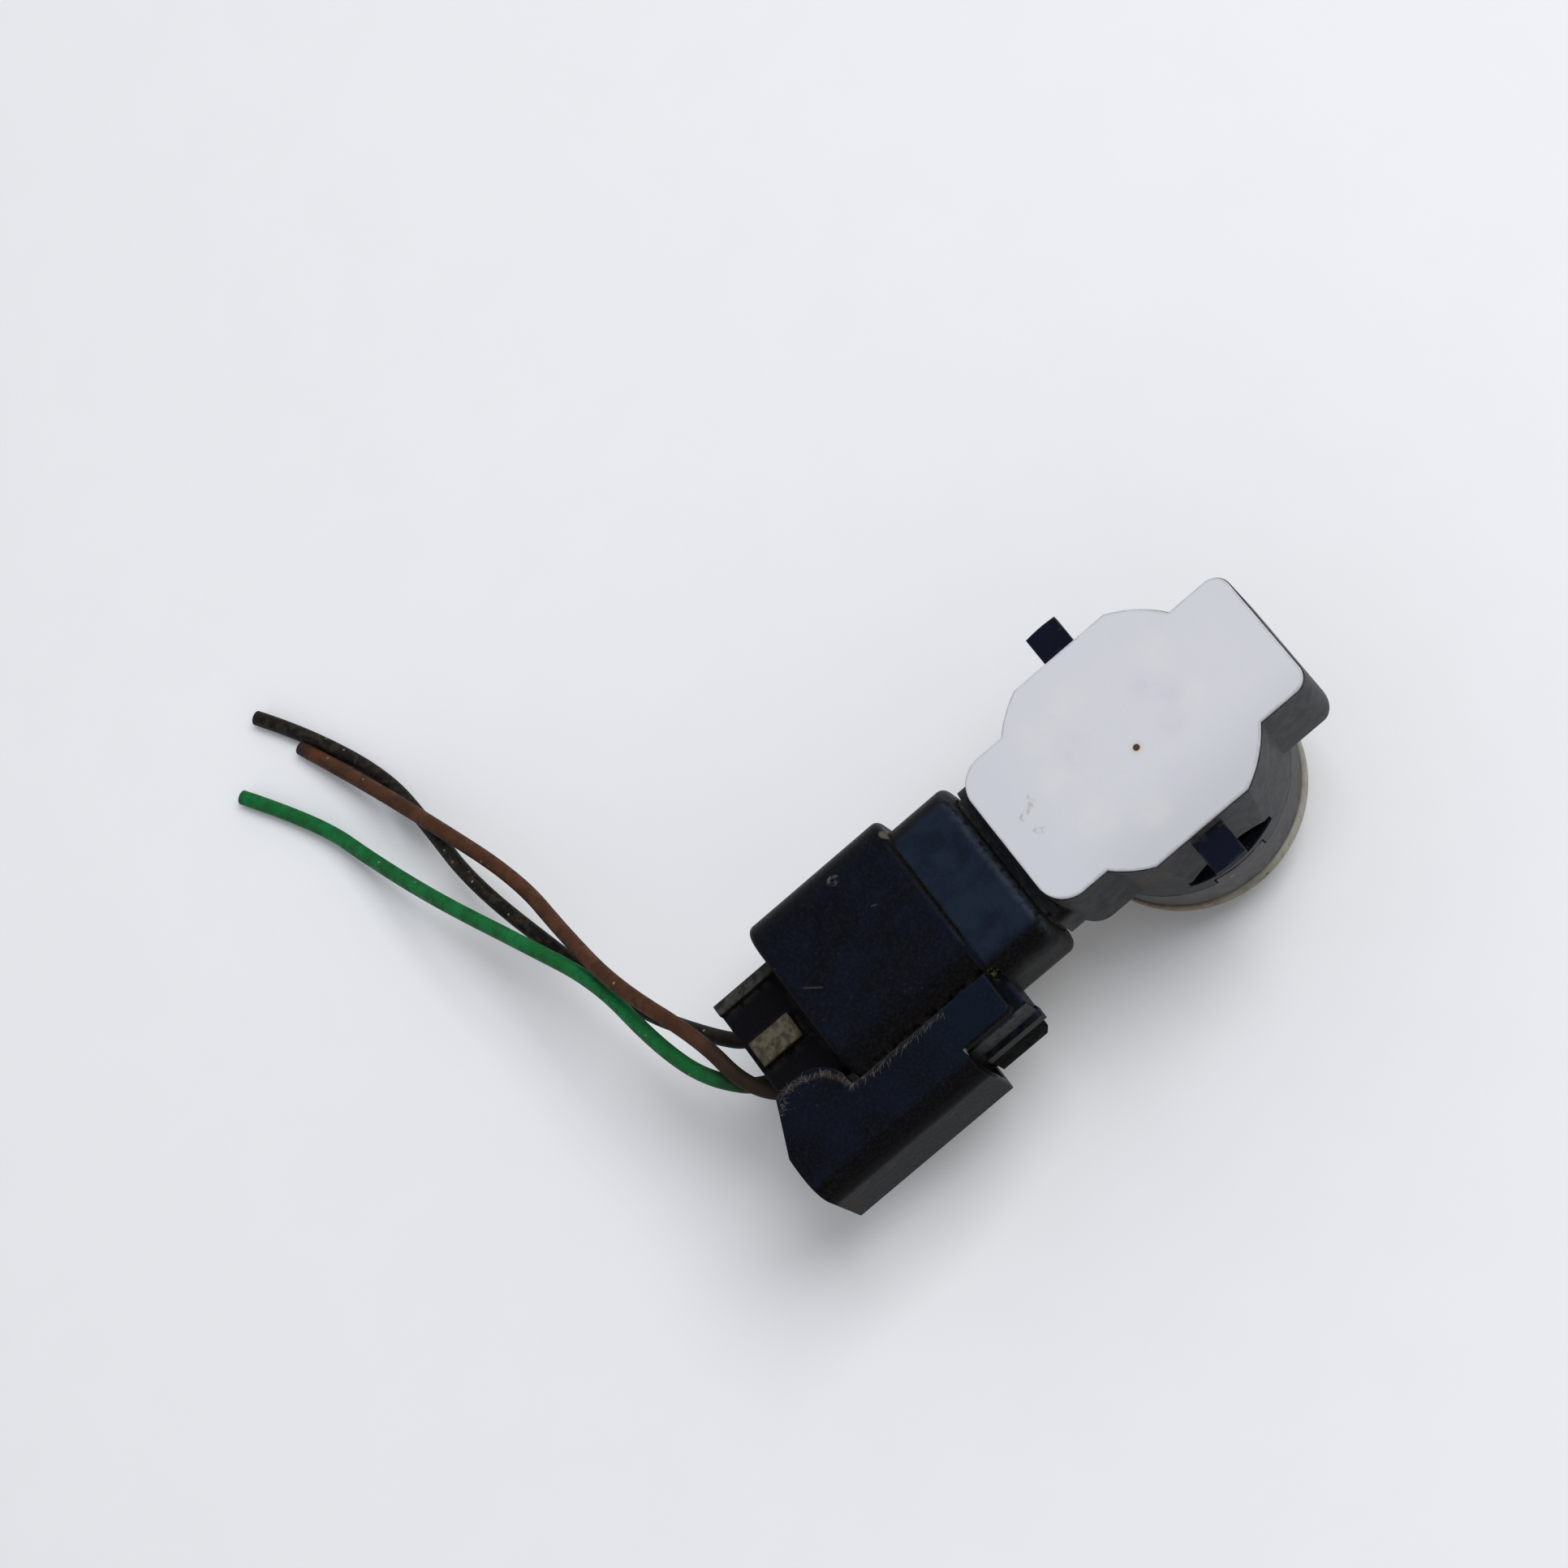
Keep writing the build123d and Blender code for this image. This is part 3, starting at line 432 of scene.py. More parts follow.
def tube_faces(tubes, rings, around):
    """Faces of many tubes: on each, ring after ring is joined to the next, four corners at a time.

    Corner number = (tube * rings + ring) * around + step, and the step after the last is the first.
    """
    tube, ring, step = np.meshgrid(np.arange(tubes), np.arange(rings - 1), np.arange(around), indexing="ij")
    after = (step + 1) % around
    base = (tube * rings + ring) * around
    corners = (base + step, base + after, base + around + after, base + around + step)
    return np.stack([corner.ravel() for corner in corners], axis=1)


def round_turns(steps):
    """The angles of a number of even steps round a circle."""
    return np.linspace(0, 2 * math.pi, steps, endpoint=False)


def frames_across(direction):
    """Two vectors across each direction: the first level and of unit length, the second across both."""
    level = np.cross(direction, (0.0, 0.0, 1.0))
    level /= np.linalg.norm(level, axis=-1, keepdims=True)
    return level, np.cross(level, direction)


def circles_round(lines, sides):
    """A circle of unit vectors across each point of many lines, one vector for each side of a tube."""
    level, rising = frames_across(np.gradient(lines, axis=1))
    rising /= np.linalg.norm(rising, axis=-1, keepdims=True)
    turns = round_turns(sides)
    return np.cos(turns)[:, None] * level[:, :, None] + np.sin(turns)[:, None] * rising[:, :, None]


def strand_bundle(colour, line):
    """Seven copper strands in a cut end: one in the middle and six round it, each with a domed tip.

    Point = tip + depth * direction + (strand's centre + radius * width * circle) across the wire.
    """
    tip = line[-1]
    direction = tip - line[-2]
    direction /= np.linalg.norm(direction)
    level, rising = frames_across(direction)
    turns = round_turns(strands_round)
    centres = np.vstack([[0.0, 0.0], strand_circle * np.stack([np.cos(turns), np.sin(turns)], axis=1)])
    dome = np.linspace(0, math.pi / 2, strand_dome_steps)
    depths = np.concatenate([[-strand_depth], strand_stand_out + strand_radius * (np.sin(dome) - 1)])
    widths = np.concatenate([[strand_root_width], np.maximum(np.cos(dome), strand_tip_width)])
    sides = round_turns(strand_sides)
    across_level = centres[:, 0, None, None] + strand_radius * widths[None, :, None] * np.cos(sides)
    across_rising = centres[:, 1, None, None] + strand_radius * widths[None, :, None] * np.sin(sides)
    points = (tip + depths[None, :, None, None] * direction + across_level[..., None] * level
              + across_rising[..., None] * rising)
    faces = tube_faces(len(centres), len(depths), strand_sides)
    piece = new_piece("strands_" + colour, points.reshape(-1, 3), faces)
    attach(piece, "sensor")
    return piece


def make_wires():
    """Each wire is one smooth spline through its route. The radius of its points is the wire's own."""
    wires = {}
    for colour, route in wire_routes.items():
        wire = route_curve("insulation_" + colour, route)
        strands = strand_bundle(colour, line_of(wire))
        wire.data.bevel_depth = 1.0
        wire.data.bevel_resolution = wire_roundness
        wire.data.use_fill_caps = True
        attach(wire, "sensor")
        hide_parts("wire_" + colour)
        wires[colour] = (wire, strands)
    return wires


def make_fibres():
    """Short bent hairs of dust along the inner edge of the lever.

    Point = root + t * reach * heading + t squared * bend + radius * taper * circle, with t from 0 to 1.
    """
    corners = np.array(fibre_edge) * mm
    runs = np.linalg.norm(np.diff(corners, axis=0), axis=1)
    travelled = np.concatenate([[0.0], np.cumsum(runs)])
    where = draw.uniform(0, travelled[-1], fibre_count)
    root = np.stack([np.interp(where, travelled, corners[:, 0]), np.interp(where, travelled, corners[:, 1]),
                     np.full(fibre_count, (lever_top - fibre_radius) * mm)], axis=1)
    root[:, 1] -= draw.uniform(*fibre_inset, fibre_count) * mm
    heading = draw.normal(0, 1, (fibre_count, 3))
    heading[:, 2] = fibre_lift + fibre_lift_change * np.abs(heading[:, 2])
    swept = root[:, 0] > swept_from * mm
    heading[swept, :2] = -np.abs(heading[swept, :2])
    heading /= np.linalg.norm(heading, axis=1, keepdims=True)
    reach = draw.uniform(*fibre_reach, fibre_count) * mm
    bend = draw.normal(0, fibre_sway, (fibre_count, 3)) * mm
    bend[:, 2] = -np.abs(heading[:, 2]) * reach * fibre_droop
    bend[swept, :2] = -np.abs(bend[swept, :2])
    along = np.linspace(0, 1, len(fibre_taper))
    middle = (root[:, None] + (along * reach[:, None])[..., None] * heading[:, None]
              + (along ** 2)[None, :, None] * bend[:, None])
    radius = fibre_radius * mm * np.array(fibre_taper)
    points = middle[:, :, None] + radius[None, :, None, None] * circles_round(middle, fibre_sides)
    piece = new_piece("dust_fibres", points.reshape(-1, 3), tube_faces(fibre_count, len(along), fibre_sides))
    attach(piece, "lever")
    return piece


def make_grains():
    """Small lumps of dirt in the notch behind the sleeve.

    Point = centre + size * lump * direction, where the lump is 1 + waves of the two angles.
    """
    centre = draw.uniform(np.array(grain_low), np.array(grain_high), (grain_count, 3)) * mm
    size = draw.uniform(*grain_size, grain_count) * mm
    tilt = np.linspace(grain_pole, math.pi - grain_pole, grain_rings)[None, :, None]
    turn = round_turns(grain_sides)[None, None, :]
    phase = draw.uniform(0, 2 * math.pi, (grain_count, 1, 1))
    lump = 1 + grain_waves * np.sin(2 * turn + phase) * np.sin(tilt) + grain_bulge * np.cos(3 * tilt + phase)
    direction = np.stack(np.broadcast_arrays(np.sin(tilt) * np.cos(turn), np.sin(tilt) * np.sin(turn),
                                             np.cos(tilt) + 0 * turn), axis=-1)
    points = centre[:, None, None] + (size[:, None, None] * lump)[..., None] * direction
    faces = tube_faces(grain_count, grain_rings, grain_sides)[:, ::-1]
    piece = new_piece("dirt_grains", points.reshape(-1, 3), faces)
    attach(piece, "sensor")
    return piece


class Value:
    """A number that varies over a surface. Python's own signs add the Math nodes."""

    def __init__(self, tree, socket):
        self.tree = tree
        self.socket = socket

    def joined(self, operation, first, second):
        node = self.tree.node("ShaderNodeMath", {"operation": operation}, {0: first, 1: second})
        return Value(self.tree, node.outputs[0])

    def __add__(self, other):
        return self.joined("ADD", self, other)

    def __mul__(self, other):
        return self.joined("MULTIPLY", self, other)

    def __radd__(self, other):
        return self.joined("ADD", other, self)

    def __rsub__(self, other):
        return self.joined("SUBTRACT", other, self)


class NodeTree:
    """A tree of shader nodes and the one way to add to it."""

    def __init__(self, tree):
        self.tree = tree

    def node(self, kind, settings=None, inputs=None):
        """A node of any kind: its settings first, then the values or links of its sockets."""
        node = self.tree.nodes.new(kind)
        for name, value in (settings or {}).items():
            if name == "stops":
                self.set_stops(node.color_ramp, value)
            else:
                setattr(node, name, value)
        for name, value in (inputs or {}).items():
            self.feed(node.inputs[name], value)
        return node

    def set_stops(self, ramp, stops):
        """A ramp starts with two stops, and the rest are added between them."""
        while len(ramp.elements) < len(stops):
            ramp.elements.new(0.5)
        for element, (position, colour) in zip(ramp.elements, stops):
            element.position = position
            element.color = (*colour, 1.0)

    def feed(self, socket, value):
        """Sets a socket to a number or colour, or links it."""
        if isinstance(value, Value):
            value = value.socket
        if isinstance(value, bpy.types.NodeSocket):
            self.tree.links.new(value, socket)
        elif isinstance(value, tuple) and len(value) == 3 and socket.type == "RGBA":
            socket.default_value = (*value, 1.0)
        else:
            socket.default_value = value


class Finish(NodeTree):
    """One material, built up in layers: the bare stuff first, then its grain, wear and dirt.

    Sizes, places and depths are in millimetres. Roughness and amounts run from 0 to 1.
    """

    def __init__(self, name, shade, roughness, **constants):
        self.material = bpy.data.materials.new(name)
        self.material.use_nodes = True
        super().__init__(self.material.node_tree)
        self.shader = self.tree.nodes["Principled BSDF"]
        for socket, value in constants.items():
            self.feed(self.shader.inputs[socket.replace("_", " ")], value)
        self.shade = shade
        self.roughness = roughness
        self.relief = None
        coordinates = self.node("ShaderNodeTexCoord")
        self.place = coordinates.outputs["Object"]
        self.x, self.y, self.z = self.parts(self.place)
        self.up = self.parts(coordinates.outputs["Normal"])[2]

    def parts(self, vector):
        """The three numbers of a vector."""
        node = self.node("ShaderNodeSeparateXYZ", None, {"Vector": vector})
        return [Value(self, output) for output in node.outputs]

    def noise(self, size, detail=2.0, shift=0.0, stretch=(1.0, 1.0, 1.0)):
        """Clouds of a given size, from 0 to 1. Below 1, stretch draws them out along an axis."""
        place = self.node("ShaderNodeMapping", None, {
            "Vector": self.place, "Location": (shift, shift, shift), "Scale": stretch})
        node = self.node("ShaderNodeTexNoise", None, {
            "Vector": place.outputs[0], "Scale": 1 / (size * mm), "Detail": detail, "Roughness": 0.55})
        return Value(self, node.outputs[0])

    def cells(self, spacing):
        """The distance to the nearest of many scattered points, in shares of their spacing."""
        node = self.node("ShaderNodeTexVoronoi", None, {"Vector": self.place, "Scale": 1 / (spacing * mm)})
        return Value(self, node.outputs["Distance"])

    def fade(self, value, start, end, least=0.0):
        """The least up to the start, 1 from the end on, and a smooth change between them."""
        node = self.node("ShaderNodeMapRange", {"interpolation_type": "SMOOTHSTEP"}, {
            "Value": value, "From Min": start, "From Max": end, "To Min": least})
        return Value(self, node.outputs["Result"])

    def along(self, axis, zone, least=0.0):
        """The same between the two places of a zone on an axis."""
        start, end = zone
        return self.fade(axis, start * mm, end * mm, least)

    def patches(self, size, start, end, detail=2.0, shift=0.0, least=0.0):
        """The same between two levels of the clouds, which leaves patches."""
        return self.fade(self.noise(size, detail, shift), start, end, least)

    def dots(self, spacing, rim, heart):
        """Scattered dots: 0 from the rim out and 1 in the heart, both in shares of the spacing."""
        return self.fade(self.cells(spacing), rim, heart)

    def tops(self, start=0.80, end=0.98):
        """1 on the faces that look up. The limits are the upward part of the surface's normal."""
        return self.fade(self.up, start, end)

    def sides(self, start=0.60, end=0.20):
        """1 on the upright faces, with limits as above."""
        return self.fade(self.up, start, end)

    def mix(self, mask, first, second):
        """Two colours, mixed by a mask."""
        return self.node("ShaderNodeMix", {"data_type": "RGBA"}, {0: mask, 6: first, 7: second}).outputs[2]

    def hollow(self, reach, inside=False):
        """How shut in a place is by what lies within reach."""
        settings = {"samples": 2, "inside": inside}
        node = self.node("ShaderNodeAmbientOcclusion", settings, {"Distance": reach * mm})
        return 1 - Value(self, node.outputs["AO"])

    def edge(self, reach):
        """How near an outer edge a place is: the same, looked at from inside."""
        return self.hollow(reach, inside=True)

    def spot(self, place, radius, soft):
        """1 within a radius of a place, fading out over a soft rim."""
        centre = tuple(number * mm for number in place)
        node = self.node("ShaderNodeVectorMath", {"operation": "DISTANCE"}, {0: self.place, 1: centre})
        return self.along(Value(self, node.outputs["Value"]), (radius + soft, radius))

    def streak(self, start, end, half_width):
        """1 along a straight line between two places, fading out over its width.

        The nearest place on the line is its start + the line * share, where the share is how far along
        the line the surface's own place falls, kept between 0 and 1.
        """
        first = tuple(Vector(start) * mm)
        line = (Vector(end) - Vector(start)) * mm
        per_length = tuple(line / line.length_squared)
        offset = self.node("ShaderNodeVectorMath", {"operation": "SUBTRACT"}, {0: self.place, 1: first})
        share = self.node("ShaderNodeVectorMath", {"operation": "DOT_PRODUCT"}, {
            0: offset.outputs[0], 1: per_length})
        kept = self.node("ShaderNodeMapRange", None, {"Value": share.outputs["Value"]})
        nearest = self.node("ShaderNodeVectorMath", {"operation": "SCALE"}, {
            0: tuple(line), "Scale": kept.outputs["Result"]})
        gap = self.node("ShaderNodeVectorMath", {"operation": "DISTANCE"}, {
            0: offset.outputs[0], 1: nearest.outputs[0]})
        return self.along(Value(self, gap.outputs["Value"]), (half_width, half_width / 3))

    def paint(self, mask, colour, amount=1.0):
        """A layer of colour where the mask is."""
        self.shade = self.mix(mask * amount, self.shade, colour)

    def dull(self, mask, roughness):
        """Another roughness where the mask is."""
        self.roughness = self.roughness + mask * (roughness - self.roughness)

    def cover(self, mask, colour, roughness, amount=1.0):
        """A layer with a colour and a roughness of its own."""
        self.paint(mask, colour, amount)
        self.dull(mask * amount, roughness)

    def rise(self, height, depth):
        """Relief: where the height is 1 the surface stands this far out."""
        inputs = {"Height": height, "Distance": depth * mm}
        if self.relief is not None:
            inputs["Normal"] = self.relief
        self.relief = self.node("ShaderNodeBump", None, inputs).outputs["Normal"]

    def done(self):
        """Joins the layers to the shader and gives the material."""
        self.feed(self.shader.inputs["Base Color"], self.shade)
        self.feed(self.shader.inputs["Roughness"], self.roughness)
        self.feed(self.shader.inputs["Normal"], self.relief)
        return self.material


def moulding_grain(finish, size, depth, tops):
    """The fine texture of a moulded face: its tops catch a little more light."""
    fine = finish.patches(size, 0.42, 0.66, detail=3.0)
    finish.paint(fine, tops, amount=0.5)
    finish.rise(fine, depth)
    finish.dull(fine, 0.45)


def corner_dust(finish, reach, amount):
    """Dust in the corners, patchy, dull and a little raised."""
    patchy = finish.patches(0.8, 0.40, 0.62, detail=4.0)
    finish.cover(finish.fade(finish.hollow(reach), 0.30, 0.85) * patchy, dust, 0.9, amount)
    finish.rise(patchy, 0.006)


def rubbed_edges(finish, reach, amount, colour=rubbed_plastic):
    """Outer edges that handling has made pale, in stretches."""
    stretches = finish.patches(1.6, 0.38, 0.60)
    finish.cover(finish.fade(finish.edge(reach), 0.35, 0.75) * stretches, colour, 0.6, amount)


def lying_specks(finish, spacing, amount):
    """Single specks of dust on the faces that look up, in loose groups."""
    groups = finish.patches(spacing * 6, 0.48, 0.66)
    specks = finish.dots(spacing, 0.20, 0.10) * groups * finish.tops(0.4, 0.9)
    finish.cover(specks, dust, 0.9, amount)
    finish.rise(specks, 0.02)


def side_film_and_reflection(finish, amount):
    """A grey layer on upright faces, partly dust and partly a painted reflection of the table they face,
    with darker and browner patches in it.
    """
    upright = finish.sides(0.55, 0.15)
    # Dust and painted reflection: the upright faces are painted grey for the pale table they face
    finish.cover(upright * finish.patches(1.3, 0.36, 0.64, detail=5.0, least=0.25), grey_film_and_reflection, 0.62, amount)
    brown = upright * finish.patches(3.2, 0.55, 0.72, detail=3.0, shift=0.4)
    finish.paint(brown, brown_film, 0.35 * amount)


def black_moulding(name, film_and_reflection):
    """Black moulded plastic: nearly black, with a painted blue reflection of the dim room above on its tops,
    and a grey layer on its sides that is partly dust and partly a painted reflection of the table.
    """
    finish = Finish(name, moulding_black, 0.36, Specular_IOR_Level=0.04)
    # Painted reflection: the tops are painted blue for the dim room above that they mirror
    finish.paint(finish.tops() * finish.patches(5.5, 0.35, 0.65, least=0.35), moulding_sky_reflection)
    moulding_grain(finish, 0.34, 0.006, grain_light)
    side_film_and_reflection(finish, film_and_reflection)
    return finish


def housing_finish():
    """The sensor's housing: greyer on its sides than the plug is, partly dirt and partly painted table
    reflection, and painted paler towards the window side.
    """
    finish = black_moulding("housing_moulding", 0.58)
    # Dirt and painted reflection: the sides are painted grey towards the ring, for the table they reflect,
    # and more so towards the window
    near_ring = finish.along(finish.z, housing_film_and_reflection_z) * finish.sides()
    lit_side = finish.along(finish.x, housing_lit_x, least=0.35)
    patchy = finish.patches(1.3, 0.36, 0.64, detail=5.0, shift=0.2, least=0.6)
    finish.cover(near_ring * lit_side * patchy, low_film_and_reflection, 0.65, amount=0.75)
    # Painted light: the upright faces are painted paler towards the window side
    finish.paint(finish.sides() * lit_side * patchy, lit_film, amount=0.5)
    # Painted shade: the top faces beside the plug are painted bluish grey
    collar = finish.along(finish.x, collar_x) * finish.tops(0.5, 0.9)
    finish.paint(collar, collar_shade_grey, amount=0.9)
    reddish = finish.spot(*reddish_spot) * finish.patches(0.9, 0.45, 0.60)
    finish.paint(reddish, reddish_dirt, amount=0.5)
    # Painted reflection: the lugs are painted blue for the dim room above
    for lug_spot in lug_spots:
        finish.cover(finish.spot(*lug_spot), lug_sky_reflection, 0.40)
    finish.cover(finish.streak(*collar_streak), scratch_grey, 0.7, amount=0.8)
    corner_dust(finish, 1.0, 0.45)
    rubbed_edges(finish, 0.26, 0.40)
    lying_specks(finish, 0.8, 0.06)
    return finish


def potting_finish():
    """The white casting: greyer on two sides, with clouds, blotches, stains, a hole and a dark border of
    painted shade.
    """
    finish = Finish("potting_compound", casting_white, 0.45, Specular_IOR_Level=0.10)
    finish.paint(finish.fade(finish.edge(3.0), 0.15, 0.55), casting_rim, amount=0.6)
    finish.paint(finish.along(finish.y, potting_low_y), casting_low_side, amount=0.95)
    finish.paint(finish.along(finish.x, potting_left_x), casting_left_side, amount=0.9)
    cream = finish.patches(1.4, 0.35, 0.65, detail=3.0, least=0.35)
    for x, y, soft in clouds:
        cloud = finish.spot((x, y, potting_top), cloud_radius, soft)
        finish.paint(cloud * cream, cloud_cream, amount=0.3)
    grey = finish.patches(1.1, 0.35, 0.62, detail=3.0, shift=0.2, least=0.4)
    for x, y, soft in blotches:
        blotch = finish.spot((x, y, potting_top), blotch_radius, soft)
        finish.paint(blotch * grey, blotch_grey, amount=0.7)
    finish.paint(finish.patches(0.35, 0.60, 0.75), freckle_grey, amount=0.25)
    stained = finish.patches(0.5, 0.40, 0.60, detail=3.0)
    for stain_streak in stain_streaks:
        finish.cover(finish.streak(*stain_streak) * stained, stain_green, 0.7, amount=0.45)
    finish.paint(finish.spot(*halo_spot), hole_halo, amount=0.5)
    hole = finish.spot(*hole_spot)
    finish.cover(hole, hole_brown, 0.8)
    # Painted shade: a dark grey band along the outer edge, in patches
    border = finish.fade(finish.edge(0.30), 0.18, 0.55) * finish.patches(1.2, 0.35, 0.60, least=0.35)
    finish.cover(border, border_shade_grey, 0.7, amount=0.8)
    swell = finish.noise(2.6)
    finish.rise(swell, 0.05)
    finish.rise(1 - hole, 0.12)
    finish.dull(finish.fade(swell, 0.4, 0.7), 0.5)
    return finish


def ring_finish():
    """The retaining ring: the same black, grey all over with dirt and scuffed on its front."""
    finish = Finish("ring_moulding", ring_black, 0.45, Specular_IOR_Level=0.3)
    moulding_grain(finish, 0.30, 0.008, ring_light)
    finish.cover(finish.patches(1.1, 0.34, 0.64, detail=5.0, least=0.30), ring_film, 0.68, amount=0.9)
    finish.paint(finish.patches(2.6, 0.55, 0.70, detail=3.0, shift=0.3), ring_brown, amount=0.4)
    for scuff_streak in scuff_streaks:
        finish.cover(finish.streak(*scuff_streak), ring_scuff, 0.8, amount=0.7)
    corner_dust(finish, 0.8, 0.5)
    rubbed_edges(finish, 0.25, 0.7, ring_edge)
    return finish


def silicone_finish(name, shade, dirt):
    """Pale silicone: milky, slightly rough, with brown dirt that clings to it."""
    finish = Finish(name, shade, 0.55, Specular_IOR_Level=0.35)
    finish.paint(finish.patches(3.0, 0.35, 0.65), tuple(0.78 * part for part in shade), amount=0.35)
    finish.cover(finish.patches(0.9, 0.46, 0.64, detail=4.0, shift=0.1), silicone_grime, 0.8, dirt)
    finish.cover(finish.dots(1.6, 0.12, 0.07), silicone_specks, 0.8, dirt)
    finish.rise(finish.noise(0.25, detail=3.0), 0.012)
    return finish


def decoupling_finish():
    """The soft ring: its flange is brown on one side, painted paler as if lit on the other, and dirty all
    round.
    """
    finish = silicone_finish("decoupling_silicone", flange_shade, 0.75)
    lit = finish.along(finish.x, flange_lit_x)
    grime = finish.patches(0.9, 0.36, 0.62, detail=5.0, least=0.35) * (1 - lit)
    finish.paint(grime, flange_grime, amount=0.55)
    # Painted light: the flange's side towards the window is painted paler
    finish.paint(lit, flange_lit, amount=0.45)
    brown = finish.along(finish.x, flange_brown_x) * finish.patches(1.2, 0.32, 0.60)
    finish.paint(brown, flange_brown, amount=0.6)
    finish.cover(finish.spot(*fleck_spot), fleck_black, 0.8)
    return finish


def plug_marks(finish):
    """Scratches on the plug's top, a small moulded ring and a pit in a corner."""
    for scratch_streak in scratch_streaks:
        finish.cover(finish.streak(*scratch_streak), plug_scratch, 0.7, amount=0.45)
    mark = finish.spot(*mark_outer_spot) * (1 - finish.spot(*mark_inner_spot))
    finish.cover(mark * finish.patches(0.4, 0.40, 0.62), mark_grey, 0.7, amount=0.8)
    finish.cover(finish.spot(*pit_spot), pit_grey, 0.9, amount=0.9)


def rail_dust_and_reflection(finish):
    """The rail that carries the lever: grey above its ridge, partly dust and partly painted table
    reflection; painted grey on its ridge for the table it reflects; and leaning in below.
    """
    rail_patches = finish.patches(0.6, 0.30, 0.62, detail=5.0)
    outside = finish.along(finish.y, rail_face_y)
    above = outside * finish.along(finish.z, above_ridge_z)
    above = above * finish.along(finish.x, rail_grey_x)
    # Dust and painted reflection: the face above the ridge is painted grey, fading out towards the rear
    finish.cover(above * (0.3 + rail_patches * 0.7), rail_grey, 0.8)
    ridge = finish.along(finish.y, ridge_face_y) * finish.along(finish.z, ridge_upper_z)
    ridge = ridge * finish.along(finish.z, ridge_lower_z)
    # Painted reflection: the ridge's outer face is painted grey, in patches
    finish.cover(ridge * rail_patches, ridge_grey, 0.8)
    finish.rise(finish.along(finish.z, rail_lean_z) * outside, -rail_lean)


def plug_finish():
    """The plug: navy black, with a painted bluer reflection on its sleeve and a painted highlight on its
    front edge, scratched on top, with dirt in the notch.
    """
    finish = black_moulding("plug_moulding", 0.24)
    # Painted reflection: the sleeve's top is painted bluer for the brighter room it mirrors
    sleeve = finish.along(finish.x, sleeve_x) * finish.tops(0.80, 0.97)
    finish.paint(sleeve * finish.patches(3.4, 0.35, 0.62, detail=3.0, least=0.45), sleeve_sky_reflection, amount=0.8)
    # Painted highlight and wear: the front round is painted pale bluish grey, in patches
    front = finish.along(finish.x, plug_front_x) * finish.tops(0.2, 0.7)
    finish.cover(front * finish.patches(0.7, 0.30, 0.62, detail=4.0), front_highlight_grey, 0.55, amount=0.45)
    plug_marks(finish)
    rail_dust_and_reflection(finish)
    crumbs = finish.spot(*notch_spot) * finish.patches(0.35, 0.50, 0.62, detail=4.0)
    finish.cover(crumbs, notch_dirt, 0.9)
    corner_dust(finish, 1.1, 0.15)
    rubbed_edges(finish, 0.22, 0.10)
    lying_specks(finish, 0.8, 0.04)
    return finish


def lever_dust(finish, top):
    """Fluff on the lever's top: along its inner edge, and thicker on the crest of its pad."""
    fluff = finish.patches(0.30, 0.30, 0.66, detail=5.0)
    inner = finish.along(finish.y, inner_edge_y) * finish.along(finish.x, inner_front_x)
    inner = inner * finish.along(finish.x, inner_rear_x)
    finish.cover(top * inner * fluff, inner_dust, 0.9, amount=0.5)
    for start, end in zip(crest[:-1], crest[1:]):
        run = finish.streak(start, end, crest_half_width)
        finish.cover(top * run * fluff, crest_dust, 0.9, amount=0.6)


def lever_finish():
    """The lever: a painted blue reflection on its top, stronger towards the sensor; a grey lower side,
    partly dust and partly painted table reflection; dusty inner edges; and a pale rim round its opening,
    partly wear and partly painted highlight.
    """
    finish = black_moulding("lever_moulding", 0.0)
    top = finish.tops(0.80, 0.97)
    blue = finish.along(finish.x, lever_reflection_x) * finish.patches(4.2, 0.25, 0.60)
    # Painted reflection: the top is painted blue for the dim room above, more towards the sensor
    finish.paint(top * blue, lever_sky_reflection, amount=0.55)
    lower = finish.along(finish.z, lever_lower_z)
    lower = lower * finish.sides(0.45, 0.15)
    patchy = finish.patches(0.9, 0.36, 0.64, detail=5.0, least=0.2)
    # Dust and painted reflection: the lower side is painted grey for the table it faces
    finish.cover(lower * patchy, lever_film_and_reflection, 0.6, amount=0.06)
    finish.paint(lower * finish.patches(2.0, 0.55, 0.70, detail=3.0, shift=0.3), lever_brown, amount=0.30)
    rear = finish.spot(*lever_rear_spot) * finish.patches(0.8, 0.35, 0.60)
    finish.cover(rear, lever_red, 0.85, amount=0.5)
    lever_dust(finish, top)
    # Wear and painted highlight: a pale rim is painted round the opening
    for start, end in zip(opening_edge[:-1], opening_edge[1:]):
        finish.cover(finish.streak(start, end, opening_half_width), worn_and_lit_plastic, 0.7, amount=0.6)
    finish.rise(finish.along(finish.z, lever_lean_z), -lever_lean)
    corner_dust(finish, 1.0, 0.15)
    rubbed_edges(finish, 0.22, 0.15)
    lying_specks(finish, 0.8, 0.04)
    return finish


def hood_finish():
    """The hood behind the plug: black, with thick beige dust on its ribs."""
    finish = black_moulding("holder_moulding", 0.10)
    finish.paint(finish.tops(), hood_black, amount=0.75)
    clumps = finish.patches(0.7, 0.34, 0.62, detail=5.0)
    key = finish.spot(*key_spot) * finish.along(finish.z, key_z)
    finish.cover(key, key_dust, 0.92, amount=0.85)
    finish.paint(key * clumps, key_clumps, amount=0.7)
    bare = finish.dots(0.55, 0.22, 0.10) * finish.along(finish.x, key_bare_x)
    finish.paint(key * bare, key_bare)
    edge = finish.along(finish.y, hood_edge_y) * finish.tops(0.3, 0.8)
    finish.cover(edge * (0.3 + clumps * 0.7), edge_dust, 0.9, amount=0.9)
    finish.rise((key + edge) * clumps, 0.05)
    corner_dust(finish, 1.0, 0.25)
    rubbed_edges(finish, 0.25, 0.25)
    return finish


